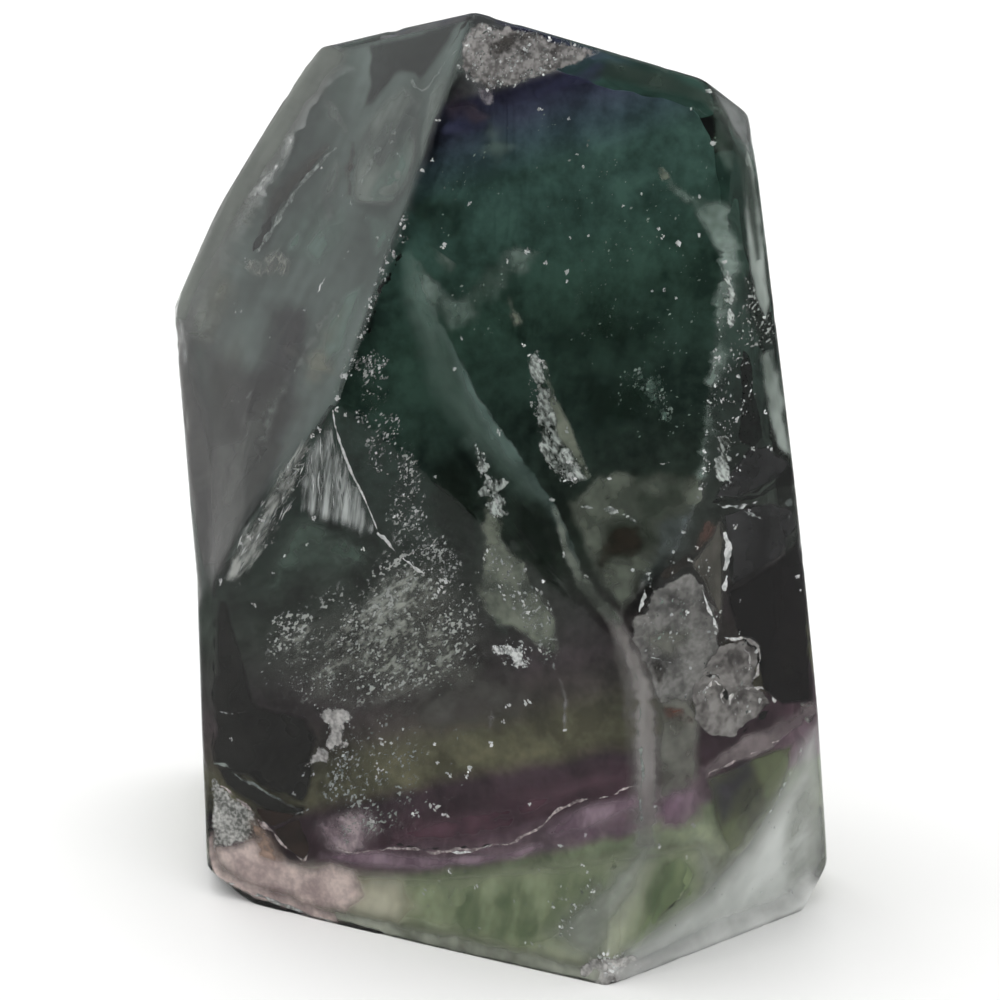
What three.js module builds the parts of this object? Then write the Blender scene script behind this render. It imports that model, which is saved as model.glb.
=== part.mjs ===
// Fluorite point: one hand-cut, polished free-form crystal that stands on its ground base.
//
// Millimetres, +Z up. The origin is on the base, under the middle of the stone's outline.
// The front of the stone looks along -Y, and its right side is towards +X.
//
// The stone is a convex solid. Each of its faces is one flat, and the solid is everything that
// lies behind all of them, with every ridge and corner eased by the polishing wheel.

import * as THREE from 'three';
import { ConvexGeometry } from 'three/addons/geometries/ConvexGeometry.js';

// How the wheel eased the ridges: their radius in millimetres, and the flats that stand for
// each quarter-turn or less of that rounding.
const RIDGE_RADIUS = 0.35;
const RIDGE_STEPS = 3;

// A corner may lie outside a face by this much, in millimetres, before that face cuts it off.
const CORNER_SLACK = 1e-6;

// Three faces whose unit normals span less than this are as good as parallel and make no corner.
const LEAST_SPREAD = 1e-6;

// The cutting list. A face is noted the way a stone cutter would:
//   turn   degrees round the upright axis: 0 faces the front (-Y), 90 faces the right (+X)
//   tilt   degrees that the face looks up from level; below 0 it looks down, an undercut
//   reach  millimetres from the origin to the face, square to it
const CUTTING_LIST = {
  base: { turn: 0, tilt: -90, reach: 0 },

  // The front: a tall crown face, a sliver below its left ridge and two long prism faces.
  crownFront: { turn: -15, tilt: 19.5, reach: 26.4 },
  crownSliver: { turn: -20, tilt: 16, reach: 23.8 },
  crownRight: { turn: 26, tilt: 14.5, reach: 33 },
  prismLeft: { turn: -28, tilt: 3, reach: 15.5 },
  prismRight: { turn: 25, tilt: 0.5, reach: 24 },

  // The crown's other faces: a broad one on the left, a roof at the back and a small shoulder.
  crownLeft: { turn: -62, tilt: 23.5, reach: 31.3 },
  roof: { turn: 148.5, tilt: 47, reach: 52.6 },
  shoulder: { turn: 60, tilt: 34, reach: 54 },

  // The sides.
  sideRightHigh: { turn: 92, tilt: 7, reach: 27.6 },
  sideRightLow: { turn: 93, tilt: 6.5, reach: 27 },
  sideLeft: { turn: -86.5, tilt: -3, reach: 23.7 },
  bevelLeftLow: { turn: -122, tilt: 21.5, reach: 46.4 },
  bevelLeftHigh: { turn: -140, tilt: 31.5, reach: 52.8 },

  // The back.
  back: { turn: 171, tilt: 4, reach: 18.3 },
  backRight: { turn: 130, tilt: 5, reach: 21 },
  backLeft: { turn: -140, tilt: 6, reach: 36.3 },

  // The foot, where undercuts bring the prism in to the base.
  footRight: { turn: 41.5, tilt: -14, reach: 22.1 },
  footSideRight: { turn: 95, tilt: -26, reach: 22 },
  footLeft: { turn: -30.5, tilt: -11, reach: 15.5 },
  footSideLeft: { turn: -72, tilt: -51, reach: 13.2 },
  footBack: { turn: 168, tilt: -38, reach: 10.2 },
};

/** The plane of one face, as its outward unit normal and its distance from the origin. */
function planeOf({ turn, tilt, reach }) {
  const turned = THREE.MathUtils.degToRad(turn);
  const tilted = THREE.MathUtils.degToRad(tilt);
  const level = Math.cos(tilted);
  const normal = new THREE.Vector3(
    Math.sin(turned) * level,
    -Math.cos(turned) * level,
    Math.sin(tilted),
  );
  return { normal, reach };
}

/** The point that three planes share once each is moved in by the ridge radius, or null. */
function sharedPoint(planes) {
  const [a, b, c] = planes;
  const bc = new THREE.Vector3().crossVectors(b.normal, c.normal);
  const ca = new THREE.Vector3().crossVectors(c.normal, a.normal);
  const ab = new THREE.Vector3().crossVectors(a.normal, b.normal);
  const spread = a.normal.dot(bc);
  if (Math.abs(spread) < LEAST_SPREAD) return null;
  return new THREE.Vector3()
    .addScaledVector(bc, a.reach - RIDGE_RADIUS)
    .addScaledVector(ca, b.reach - RIDGE_RADIUS)
    .addScaledVector(ab, c.reach - RIDGE_RADIUS)
    .divideScalar(spread);
}

/** Whether a point lies behind every plane once each is moved in by the ridge radius. */
function isWithin(point, planes) {
  return planes.every(
    ({ normal, reach }) => normal.dot(point) <= reach - RIDGE_RADIUS + CORNER_SLACK,
  );
}

/**
 * The points of one eased corner: a patch of the ball about its centre, spanned by the three
 * faces' normals, so that its outermost points lie exactly on the faces.
 */
function easedCorner(centre, planes) {
  const [a, b, c] = planes.map(({ normal }) => normal);
  const points = [];
  for (let i = 0; i <= RIDGE_STEPS; i += 1) {
    for (let j = 0; i + j <= RIDGE_STEPS; j += 1) {
      const direction = new THREE.Vector3()
        .addScaledVector(a, i)
        .addScaledVector(b, j)
        .addScaledVector(c, RIDGE_STEPS - i - j)
        .normalize();
      points.push(direction.multiplyScalar(RIDGE_RADIUS).add(centre));
    }
  }
  return points;
}

/** Every point of the stone's surface that its convex skin is stretched over. */
function stonePoints() {
  const planes = Object.values(CUTTING_LIST).map(planeOf);
  const points = [];
  for (let i = 0; i < planes.length; i += 1) {
    for (let j = i + 1; j < planes.length; j += 1) {
      for (let k = j + 1; k < planes.length; k += 1) {
        const trio = [planes[i], planes[j], planes[k]];
        const centre = sharedPoint(trio);
        if (centre && isWithin(centre, planes)) points.push(...easedCorner(centre, trio));
      }
    }
  }
  return points;
}

/** Clear grey-green fluorite with a wheel-polished surface. */
function polishedFluorite() {
  return new THREE.MeshStandardMaterial({ color: 0x4f5f58, roughness: 0.08, metalness: 0 });
}

/** The whole stone, one solid. */
function fluoritePoint() {
  const stone = new THREE.Mesh(new ConvexGeometry(stonePoints()), polishedFluorite());
  stone.name = 'fluorite_point';
  return stone;
}

const model = new THREE.Group();
model.add(fluoritePoint());

export default model;
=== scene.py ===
"""A polished fluorite point, one hand-cut crystal with its fractures, veils and colour bands.

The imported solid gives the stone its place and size. This file gives it its looks: a finely
meshed skin of clear stone, what is sealed inside it, and a plain pale studio around it.
Lengths are millimetres on the stone and become metres in the meshes. Places inside the stone
are given as marks: where an eye standing at a stated turn sees them through the polish, in
thousandths of its picture's width, rightwards and downwards from the picture's upper left
corner. A piece's random waves and strewn scales are drawn from its own name, so they are the
same in every run.
"""

import logging
import math
from collections.abc import Callable
from dataclasses import dataclass, field
from enum import Enum
from itertools import combinations
from typing import Any

import bpy
import numpy as np
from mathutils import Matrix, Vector
from numpy.typing import NDArray


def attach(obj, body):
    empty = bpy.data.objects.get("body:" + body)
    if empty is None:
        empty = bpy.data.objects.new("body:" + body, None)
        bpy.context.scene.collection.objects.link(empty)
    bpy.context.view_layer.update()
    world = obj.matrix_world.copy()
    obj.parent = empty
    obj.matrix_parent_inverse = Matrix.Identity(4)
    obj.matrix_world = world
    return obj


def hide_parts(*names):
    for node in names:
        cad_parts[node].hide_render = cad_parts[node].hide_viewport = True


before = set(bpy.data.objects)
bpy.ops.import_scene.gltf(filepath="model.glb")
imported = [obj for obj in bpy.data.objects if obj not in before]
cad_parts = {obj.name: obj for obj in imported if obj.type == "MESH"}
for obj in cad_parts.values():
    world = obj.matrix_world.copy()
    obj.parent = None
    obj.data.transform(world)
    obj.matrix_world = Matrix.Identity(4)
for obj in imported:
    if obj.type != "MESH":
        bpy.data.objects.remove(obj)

Array = NDArray[np.float64]
Marks = tuple[float, ...]
Pair = tuple[float, float]
Triple = tuple[float, float, float]

log = logging.getLogger("fluorite_point")

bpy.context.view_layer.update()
MM = 0.001
STONE_NODE = "fluorite_point"
BODY = "root"
FLUORITE_IOR = 1.434
GROWTH_WAY: Triple = (-0.325, 0.137, 0.936)
MARKS_PER_MM = 12.7
"""Thousandths of the picture's width that a millimetre of the stone covers."""
SKIN_MARGIN = 0.1
"""The least depth, in millimetres, of anything sealed in the stone, whichever face is nearest."""
LEAST_DEPTH = 0.15
"""The least depth, in millimetres, of a crumpled film behind the face it is seen through."""


# ---------------------------------------------------------------- colours, nodes and meshes


def linear(code: str) -> tuple[float, float, float, float]:
    """Turns an sRGB colour into the linear one that shaders take.

    Args:
        code: The colour as six hex digits.

    Returns:
        Red, green, blue and an alpha of one.
    """
    shares = [int(code[i : i + 2], 16) / 255 for i in (0, 2, 4)]
    lit = [c / 12.92 if c <= 0.04045 else ((c + 0.055) / 1.055) ** 2.4 for c in shares]
    return (lit[0], lit[1], lit[2], 1.0)


def add_node(tree: bpy.types.NodeTree, kind: str, feeds: dict[Any, Any] | None = None,
             **settings: Any) -> bpy.types.Node:
    """Adds one node with its settings and its inputs.

    Args:
        tree: The node tree.
        kind: The node's type name.
        feeds: What goes in each input, by its name or number: a plain value, a socket to link, or
            a node whose first output is linked.
        settings: Attributes of the node itself. One named stops holds a ramp's places and shades.

    Returns:
        The new node.
    """
    made = tree.nodes.new(kind)
    for name, value in settings.items():
        if name == "stops":
            bits = made.color_ramp.elements
            while len(bits) < len(value):
                bits.new(1.0)
            for bit, (place, shade) in zip(bits, value):
                bit.position = place
                bit.color = linear(shade)
        else:
            setattr(made, name, value)
    for key, value in (feeds or {}).items():
        source = value.outputs[0] if isinstance(value, bpy.types.Node) else value
        if isinstance(source, bpy.types.NodeSocket):
            tree.links.new(source, made.inputs[key])
        else:
            made.inputs[key].default_value = source
    return made


def blank_material(name: str) -> tuple[bpy.types.Material, bpy.types.NodeTree]:
    """Makes a material without nodes.

    Args:
        name: The material's name.

    Returns:
        The material and its node tree.
    """
    made = bpy.data.materials.new(name)
    made.use_nodes = True
    made.node_tree.nodes.clear()
    return made, made.node_tree


def mesh_object(name: str, points: Array, faces: Array, rim: Array | None = None,
                smooth: bool = True) -> bpy.types.Object:
    """Puts points and faces into a new mesh object at the origin.

    Args:
        name: The piece's name.
        points: One row of x, y, z in metres for each point.
        faces: One row of point numbers for each face.
        rim: Two values for each point, kept as the UV map named sheet, or nothing.
        smooth: Whether the faces are shaded as one smooth surface.

    Returns:
        The object, linked to the scene.
    """
    mesh = bpy.data.meshes.new(name)
    mesh.from_pydata(points.tolist(), [], faces.tolist())
    mesh.polygons.foreach_set("use_smooth", np.full(len(mesh.polygons), smooth))
    if rim is not None:
        layer = mesh.uv_layers.new(name="sheet")
        corners = np.zeros(len(mesh.loops), np.int32)
        mesh.loops.foreach_get("vertex_index", corners)
        layer.data.foreach_set("uv", rim[corners].astype(np.float32).ravel())
    mesh.update()
    made = bpy.data.objects.new(name, mesh)
    bpy.context.scene.collection.objects.link(made)
    return made


def grid_faces(rows: int, columns: int, closed: bool = False) -> Array:
    """The quads of a grid whose points are numbered row by row.

    Args:
        rows: How many rows of points there are.
        columns: How many points a row has.
        closed: Whether each row's last point joins its first.

    Returns:
        Four point numbers for each quad.
    """
    row, column = np.meshgrid(np.arange(rows - 1), np.arange(columns - (not closed)), indexing="ij")
    here = row * columns + column
    right = row * columns + (column + 1) % columns
    return np.stack([here, right, right + columns, here + columns], -1).reshape(-1, 4)


def halved(quads: Array) -> Array:
    """Cuts quads into triangles: the first halves of all, then the second halves."""
    return np.concatenate([quads[:, [0, 1, 2]], quads[:, [0, 2, 3]]])


def disc_faces(rings: int, around: int) -> Array:
    """The triangles of a disc, whose points are numbered ring by ring from its rim inwards.

    Args:
        rings: How many rings of points there are. The middle point is numbered after them.
        around: How many points a ring has.

    Returns:
        Three point numbers for each triangle.
    """
    last = (rings - 1) * around + np.arange(around)
    fan = np.stack([last, np.roll(last, -1), np.full(around, rings * around)], -1)
    return np.concatenate([halved(grid_faces(rings, around, closed=True)), fan])


def walk_round(corners: Array, step: float, rounding: Callable[[Array], Array] = np.floor) -> Array:
    """Splits each side of a closed outline into equal parts.

    Args:
        corners: One row for each corner, in order.
        step: About how long a part is.
        rounding: How a broken number of parts is made whole.

    Returns:
        One row for each point round the outline.
    """
    ends = np.roll(corners, -1, axis=0)
    counts = np.maximum(rounding(np.linalg.norm(ends - corners, axis=1) / step), 1).astype(int)
    return np.concatenate([start + (end - start) * np.linspace(0, 1, count, endpoint=False)[:, None]
                           for start, end, count in zip(corners, ends, counts)])


def laid_flat(marks: Array) -> Array:
    """Marks as points in millimetres on a level sheet, where unevenness is looked up."""
    return np.column_stack([marks / MARKS_PER_MM, np.zeros(len(marks))])


def dress(piece: bpy.types.Object, material: bpy.types.Material) -> bpy.types.Object:
    """Gives a piece its one material and the body it rides on.

    Args:
        piece: The piece.
        material: Its finish.

    Returns:
        The same piece.
    """
    piece.data.materials.clear()
    piece.data.materials.append(material)
    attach(piece, BODY)
    return piece


@dataclass(frozen=True)
class Rumple:
    """Smooth unevenness in space: random sine waves added up, finer and fainter in each octave.

    Attributes:
        seed: Which random waves.
        span: Millimetres from crest to crest of the longest wave.
        octaves: How many times the waves are halved.
    """

    seed: int
    span: float
    octaves: int = 3
    waves: int = 9

    def at(self, points: Array) -> Array:
        """The unevenness at some points.

        Args:
            points: One row of x, y, z in millimetres for each point.

        Returns:
            One value for each point, mostly between -1 and 1.
        """
        dice = np.random.default_rng(self.seed)
        total = np.zeros(len(points))
        for octave in range(self.octaves):
            ways = dice.normal(size=(self.waves, 3))
            ways *= 2 * math.pi * 2**octave / (self.span * np.linalg.norm(ways, axis=1, keepdims=True))
            swell = np.sin(points @ ways.T + dice.uniform(0, 2 * math.pi, self.waves))
            total += 1.6 * swell.mean(1) / 1.7**octave
        return total


# ---------------------------------------------------------------- the stone's form


@dataclass(frozen=True)
class Flat:
    """One face of the stone, as its cutter would note it.

    Attributes:
        turn: Degrees round the upright axis, 0 at the front (-Y) and 90 at the right (+X).
        tilt: Degrees that the face looks up from level, below 0 for an undercut.
        reach: Millimetres from the origin to the face, square to it.
    """

    turn: float
    tilt: float
    reach: float

    def axes(self) -> tuple[Array, Array, Array]:
        """The face's own directions, from the sines and cosines of its turn and tilt.

        Returns:
            The unit ways across it to the right, up it, and out of it.
        """
        turned, tilted = math.radians(self.turn), math.radians(self.tilt)
        sin_t, cos_t, sin_e, cos_e = math.sin(turned), math.cos(turned), math.sin(tilted), math.cos(tilted)
        across = np.array([cos_t, sin_t, 0.0])
        up = np.array([-sin_t * sin_e, cos_t * sin_e, cos_e])
        out = np.array([sin_t * cos_e, -cos_t * cos_e, sin_e])
        return across, up, out


class Face(Enum):
    """The cutting list: every flat of the stone."""

    BASE = Flat(0, -90, 0)
    CROWN_FRONT = Flat(-15, 19.5, 26.4)
    CROWN_SLIVER = Flat(-20, 16, 23.8)
    CROWN_RIGHT = Flat(26, 14.5, 33)
    PRISM_LEFT = Flat(-28, 3, 15.5)
    PRISM_RIGHT = Flat(25, 0.5, 24)
    CROWN_LEFT = Flat(-62, 23.5, 31.3)
    ROOF = Flat(148.5, 47, 52.6)
    SHOULDER = Flat(60, 34, 54)
    SIDE_RIGHT_HIGH = Flat(92, 7, 27.6)
    SIDE_RIGHT_LOW = Flat(93, 6.5, 27)
    SIDE_LEFT = Flat(-86.5, -3, 23.7)
    BEVEL_LEFT_LOW = Flat(-122, 21.5, 46.4)
    BEVEL_LEFT_HIGH = Flat(-140, 31.5, 52.8)
    BACK = Flat(171, 4, 18.3)
    BACK_RIGHT = Flat(130, 5, 21)
    BACK_LEFT = Flat(-140, 6, 36.3)
    FOOT_RIGHT = Flat(41.5, -14, 22.1)
    FOOT_SIDE_RIGHT = Flat(95, -26, 22)
    FOOT_LEFT = Flat(-30.5, -11, 15.5)
    FOOT_SIDE_LEFT = Flat(-72, -51, 13.2)
    FOOT_BACK = Flat(168, -38, 10.2)


@dataclass
class StoneForm:
    """The polished form: all flats, their eased ridges and the slight wander of hand work.

    Attributes:
        sharpness: How crisp the ridges are, per millimetre. A ridge stands back from where its
            two flats would meet by 0.7 divided by this.
        wander: How far, in millimetres, a hand-held face strays from flat.
        wander_span: Millimetres from one swell of that wander to the next.
        nick: How deep, in millimetres, the nicks along the ridges go.
        proud: How far, in millimetres, the flats stand proud, so that the eased ridges keep the
            stone's outline.
        hollow: How deep, in millimetres, the left side is ground hollow.
        nick_span: Millimetres from one nick to the next.
        hollow_height: The height of that hollow's middle.
        hollow_spread: How far above and below it the hollow runs out.
        hollow_edge: How far right the hollow begins, and over how many millimetres it sets in.
    """

    sharpness: float = 6.0
    wander: float = 0.03
    wander_span: float = 17.0
    nick: float = 0.14
    nick_span: float = 4.2
    proud: float = 0.15
    hollow: float = 1.05
    hollow_height: float = 26.0
    hollow_spread: float = 27.0
    hollow_edge: Pair = (-20.0, 4.0)
    normals: Array = field(init=False)
    reaches: Array = field(init=False)
    corners: Array = field(init=False)

    def __post_init__(self) -> None:
        """Works out the flats' planes and the corners where three of them meet."""
        self.normals = np.array([face.value.axes()[2] for face in Face])
        self.reaches = np.array([face.value.reach for face in Face])
        trios = np.array(list(combinations(range(len(self.reaches)), 3)))
        spans = np.linalg.det(self.normals[trios])
        trios = trios[np.abs(spans) > 1e-6]
        meets = np.linalg.solve(self.normals[trios], self.reaches[trios][..., None])[..., 0]
        kept = (meets @ self.normals.T <= self.reaches + 1e-6).all(1)
        self.corners = np.unique(meets[kept].round(6), axis=0)

    def outline(self, number: int) -> Array:
        """The corners of one flat, in order round it as seen from outside.

        Args:
            number: The flat's place in the cutting list.

        Returns:
            One row of x, y, z in millimetres for each corner.
        """
        gap = np.abs(self.corners @ self.normals[number] - self.reaches[number])
        mine = self.corners[gap < 1e-4]
        across, up, _ = list(Face)[number].value.axes()
        spokes = mine - mine.mean(0)
        return mine[np.argsort(np.arctan2(spokes @ up, spokes @ across))]

    def gap_and_slope(self, points: Array, sharpness: float) -> tuple[Array, Array, Array]:
        """How far points stand outside the stone, and the way out.

        It is the soft maximum of the distances to all flats: the logarithm of the sum of their
        exponentials, which rounds every ridge.

        Args:
            points: One row of x, y, z in millimetres for each point.
            sharpness: How crisp the ridges are, per millimetre.

        Returns:
            The distances, below zero inside, the unit directions in which they grow, and how
            near each point is to a ridge, from 0 on a flat to 1 at a corner.
        """
        gaps = points @ self.normals.T - self.reaches
        most = gaps.max(1, keepdims=True)
        shares = np.exp(sharpness * (gaps - most))
        total = shares.sum(1, keepdims=True)
        soft = most[:, 0] + np.log(total[:, 0]) / sharpness - self.proud
        slope = (shares / total) @ self.normals
        size = np.linalg.norm(slope, axis=1, keepdims=True)
        return soft / size[:, 0], slope / size, 1 - (shares / total).max(1)

    def polished(self, points: Array) -> Array:
        """Moves points onto the polished surface, with its nicks and the hollow of the left side.

        Args:
            points: One row of x, y, z in millimetres for each point, near the surface.

        Returns:
            The moved points.
        """
        moved = points.copy()
        swell = self.wander * Rumple(3, self.wander_span, 2).at(points)
        for _ in range(4):
            gap, slope, ridge = self.gap_and_slope(moved, self.sharpness)
            moved -= (gap + swell)[:, None] * slope
        bite = np.clip(Rumple(11, self.nick_span, 3).at(moved) - 0.35, 0.0, 0.6)
        bite *= np.clip(4 * ridge, 0.0, 1.0)
        moved -= self.nick * bite[:, None] * slope
        moved = self.hollowed(moved)
        moved[:, 2] = np.maximum(moved[:, 2], 0.0)
        return moved

    def hollowed(self, points: Array) -> Array:
        """Presses points of the left side inwards, most at the hollow's middle height.

        Args:
            points: One row of x, y, z in millimetres for each point.

        Returns:
            The moved points.
        """
        moved = points.copy()
        level = np.abs(moved[:, 2] - self.hollow_height) / self.hollow_spread
        side = np.clip((self.hollow_edge[0] - moved[:, 0]) / self.hollow_edge[1], 0.0, 1.0)
        moved[:, 0] += self.hollow * np.clip(1.0 - level, 0.0, 1.0) * side
        return moved

    def held_inside(self, points: Array, margin: float) -> Array:
        """Draws points that stand too near the surface back into the stone.

        Args:
            points: One row of x, y, z in millimetres for each point.
            margin: The least depth, in millimetres.

        Returns:
            The moved points.
        """
        moved = points.copy()
        for _ in range(5):
            gap, slope, _ = self.gap_and_slope(moved, self.sharpness)
            moved -= np.maximum(gap + margin, 0.0)[:, None] * slope
        return self.hollowed(moved)


@dataclass(frozen=True)
class Eye:
    """Somebody looking at the stone.

    Attributes:
        turn: Degrees round the stone, 0 at the front and 90 at its right.
        fall: Degrees that the eye looks down.
        aim: The point looked at, in millimetres.
        distance: Millimetres from the eye to that point.
        lens: The lens's focal length, and the width of the picture behind it, in millimetres.
    """

    turn: float = 0.0
    fall: float = 20.0
    aim: Triple = (0.5, -11.5, 37.0)
    distance: float = 400.0
    lens: Pair = (182.88, 36.0)

    def axes(self) -> tuple[Array, Array, Array]:
        """The picture's directions, from the sines and cosines of the eye's turn and fall.

        Returns:
            The unit ways to the right, up, and ahead.
        """
        turned, fallen = math.radians(self.turn), math.radians(self.fall)
        right = np.array([math.cos(turned), math.sin(turned), 0.0])
        level = np.array([-math.sin(turned), math.cos(turned), 0.0])
        ahead = level * math.cos(fallen) - np.array([0.0, 0.0, math.sin(fallen)])
        return right, np.cross(right, ahead), ahead

    def place(self) -> Array:
        """Where the eye is, in millimetres."""
        return np.array(self.aim) - self.distance * self.axes()[2]

    def rays(self, marks: Array) -> Array:
        """Unit directions from the eye through marks in its picture.

        Args:
            marks: One row for each mark, in thousandths of the picture's width, rightwards and
                downwards from its upper left corner.

        Returns:
            One row of x, y, z for each mark.
        """
        right, up, ahead = self.axes()
        reach = 1000 * self.lens[0] / self.lens[1]
        ways = (reach * ahead + np.multiply.outer(marks[:, 0] - 500, right)
                + np.multiply.outer(500 - marks[:, 1], up))
        return ways / np.linalg.norm(ways, axis=1, keepdims=True)


@dataclass
class Sighting:
    """Finds places inside the stone from where an eye sees them through the polish."""

    form: StoneForm
    eye: Eye

    def inside(self, marks: Array, depth: Array) -> Array:
        """The points that an eye sees at marks, at a depth behind the face it looks through.

        The line of sight meets the stone at the last of the flats that it crosses inwards. There
        it bends by the law of refraction, and runs on until it is as deep as asked.

        Args:
            marks: One row for each mark.
            depth: Millimetres behind the face, one for each mark.

        Returns:
            One row of x, y, z in millimetres for each mark.
        """
        rays, place = self.eye.rays(marks), self.eye.place()
        meets = rays @ self.form.normals.T
        reach = (self.form.reaches - place @ self.form.normals.T) / np.where(meets < -1e-6, meets, np.nan)
        first = np.nanargmax(reach, axis=1)
        rows = np.arange(len(marks))
        normal, slant = self.form.normals[first], -meets[rows, first]
        bend = 1 / FLUORITE_IOR
        root = np.sqrt(1 - bend**2 * (1 - slant**2))
        onward = bend * rays + (bend * slant - root)[:, None] * normal
        entry = place + reach[rows, first][:, None] * rays
        return self.form.held_inside(entry + (depth / root)[:, None] * onward, SKIN_MARGIN)


# ---------------------------------------------------------------- finishes


class Pattern(Enum):
    """How a film inside the stone is broken up."""

    CLOUD = "soft clouds"
    FROST = "grains on a dull ground"
    SPARK = "loose bright grains"
    CELL = "rounded lumps with bright outlines"
    SCALE = "one tone for each scale"


@dataclass(frozen=True)
class Film:
    """A thin film inside the stone: a healed crack, a veil of tiny bubbles or a parted layer.

    Attributes:
        name: What it is.
        deep: Its darkest colour.
        pale: Its palest colour.
        cover: How much of what is behind it the film hides, where it is thin and where thick.
        span: Millimetres from one of its clouds or lumps to the next.
        fade: Millimetres over which it thins out at its rim.
        ragged: Millimetres that its thin parts are eaten away from the rim.
        pattern: How it is broken up.
        sweep: Degrees that its clouds lean to the right of upright.
        stretch: How many times longer than wide its clouds are.
        steep: How hard its clouds are edged, from 0 for soft to 1 for sharp.
        grain: How much of its unevenness is fine grain rather than broad clouds.
        grain_size: Millimetres from one grain to the next.
        mirror: How much of it shines like a film of air.
        rough: How dull that shine is.
    """

    name: str
    deep: str
    pale: str
    cover: Pair = (0.2, 0.8)
    span: float = 5.0
    fade: float = 1.0
    ragged: float = 0.8
    pattern: Pattern = Pattern.CLOUD
    sweep: float = 0.0
    stretch: float = 1.0
    steep: float = 0.2
    grain: float = 0.0
    grain_size: float = 0.7
    mirror: float = 0.0
    rough: float = 0.3

    def broken(self, tree: bpy.types.NodeTree) -> tuple[bpy.types.Node, bpy.types.Node]:
        """Adds the film's pattern.

        Args:
            tree: The node tree.

        Returns:
            Where the film is thick, and its fine grain, both from 0 to 1.
        """
        place = add_node(tree, "ShaderNodeTexCoord").outputs["Object"]
        turned = add_node(tree, "ShaderNodeMapping", {
            "Vector": place, "Rotation": (0.0, math.radians(self.sweep), 0.0),
            "Scale": (1.0, 1.0, self.stretch)}, vector_type="TEXTURE")
        clouds = add_node(tree, "ShaderNodeTexNoise", {
            "Vector": turned, "Scale": 1 / (self.span * MM), "Detail": 3.0, "Roughness": 0.6})
        # Noise seldom strays further than 0.22 from its middle, so that much is the softest edge.
        half = 0.2 * (1 - self.steep) + 0.02
        thick = add_node(tree, "ShaderNodeMapRange", {
            "Value": clouds, "From Min": 0.5 - half, "From Max": 0.5 + half},
            interpolation_type="SMOOTHSTEP")
        if self.grain == 0:
            return thick, thick
        per_grain = 1 / (self.grain_size * MM)
        if self.pattern is Pattern.CELL:
            near = add_node(tree, "ShaderNodeTexVoronoi", {"Vector": turned, "Scale": per_grain},
                            feature="DISTANCE_TO_EDGE")
            edges = add_node(tree, "ShaderNodeMapRange", {
                "Value": near, "From Min": 0.04, "From Max": 0.16, "To Min": 1.0, "To Max": 0.0},
                interpolation_type="SMOOTHSTEP")
            return thick, edges
        fine = add_node(tree, "ShaderNodeTexNoise", {
            "Vector": turned, "Scale": per_grain, "Detail": 1.0, "Roughness": 0.6})
        # Sparks stand alone, so only the brightest noise counts. Frost is nearly whole.
        crowd, low, high = (0.2, 0.66, 0.8) if self.pattern is Pattern.SPARK else (0.1, 0.41, 0.73)
        crowded = add_node(tree, "ShaderNodeMath", {0: thick, 1: crowd, 2: fine}, operation="MULTIPLY_ADD")
        crisp = add_node(tree, "ShaderNodeMapRange", {
            "Value": crowded, "From Min": low, "From Max": high}, interpolation_type="SMOOTHSTEP")
        return thick, crisp

    def thinned(self, tree: bpy.types.NodeTree, cover: bpy.types.Node, thick: bpy.types.Node,
                crisp: bpy.types.Node) -> bpy.types.Node:
        """Thins the film out towards its rim, first where it is thin already.

        Args:
            tree: The node tree.
            cover: How much the film hides.
            thick: Where it is thick.
            crisp: Its fine grain.

        Returns:
            How much it hides once its rim is worn.
        """
        rim = add_node(tree, "ShaderNodeSeparateXYZ", {0: add_node(tree, "ShaderNodeUVMap", uv_map="sheet")})
        broad = add_node(tree, "ShaderNodeMath", {0: thick, 1: 0.75 * self.ragged, 2: rim.outputs["Y"]},
                         operation="MULTIPLY_ADD")
        worn = add_node(tree, "ShaderNodeMath", {0: crisp, 1: 0.25 * self.ragged, 2: broad},
                        operation="MULTIPLY_ADD")
        thin = add_node(tree, "ShaderNodeMapRange", {
            "Value": worn, "From Min": self.ragged, "From Max": self.ragged + self.fade},
            interpolation_type="SMOOTHSTEP")
        return add_node(tree, "ShaderNodeMath", {0: cover, 1: thin}, operation="MULTIPLY")

    def body(self, tree: bpy.types.NodeTree, tone: bpy.types.Node | bpy.types.NodeSocket) -> bpy.types.Node:
        """Adds what the film is made of: matt grains, with the shine of trapped air over them.

        Args:
            tree: The node tree.
            tone: Where the film is deep and where it is pale, from 0 to 1.

        Returns:
            The shader.
        """
        colour = add_node(tree, "ShaderNodeValToRGB", {0: tone}, stops=[(0.0, self.deep), (1.0, self.pale)])
        matt = add_node(tree, "ShaderNodeBsdfDiffuse", {"Color": colour})
        if self.mirror == 0:
            return matt
        air = add_node(tree, "ShaderNodeBsdfAnisotropic", {
            "Color": linear("f4f6f5"), "Roughness": self.rough})
        return add_node(tree, "ShaderNodeMixShader", {0: self.mirror, 1: matt, 2: air})

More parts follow.
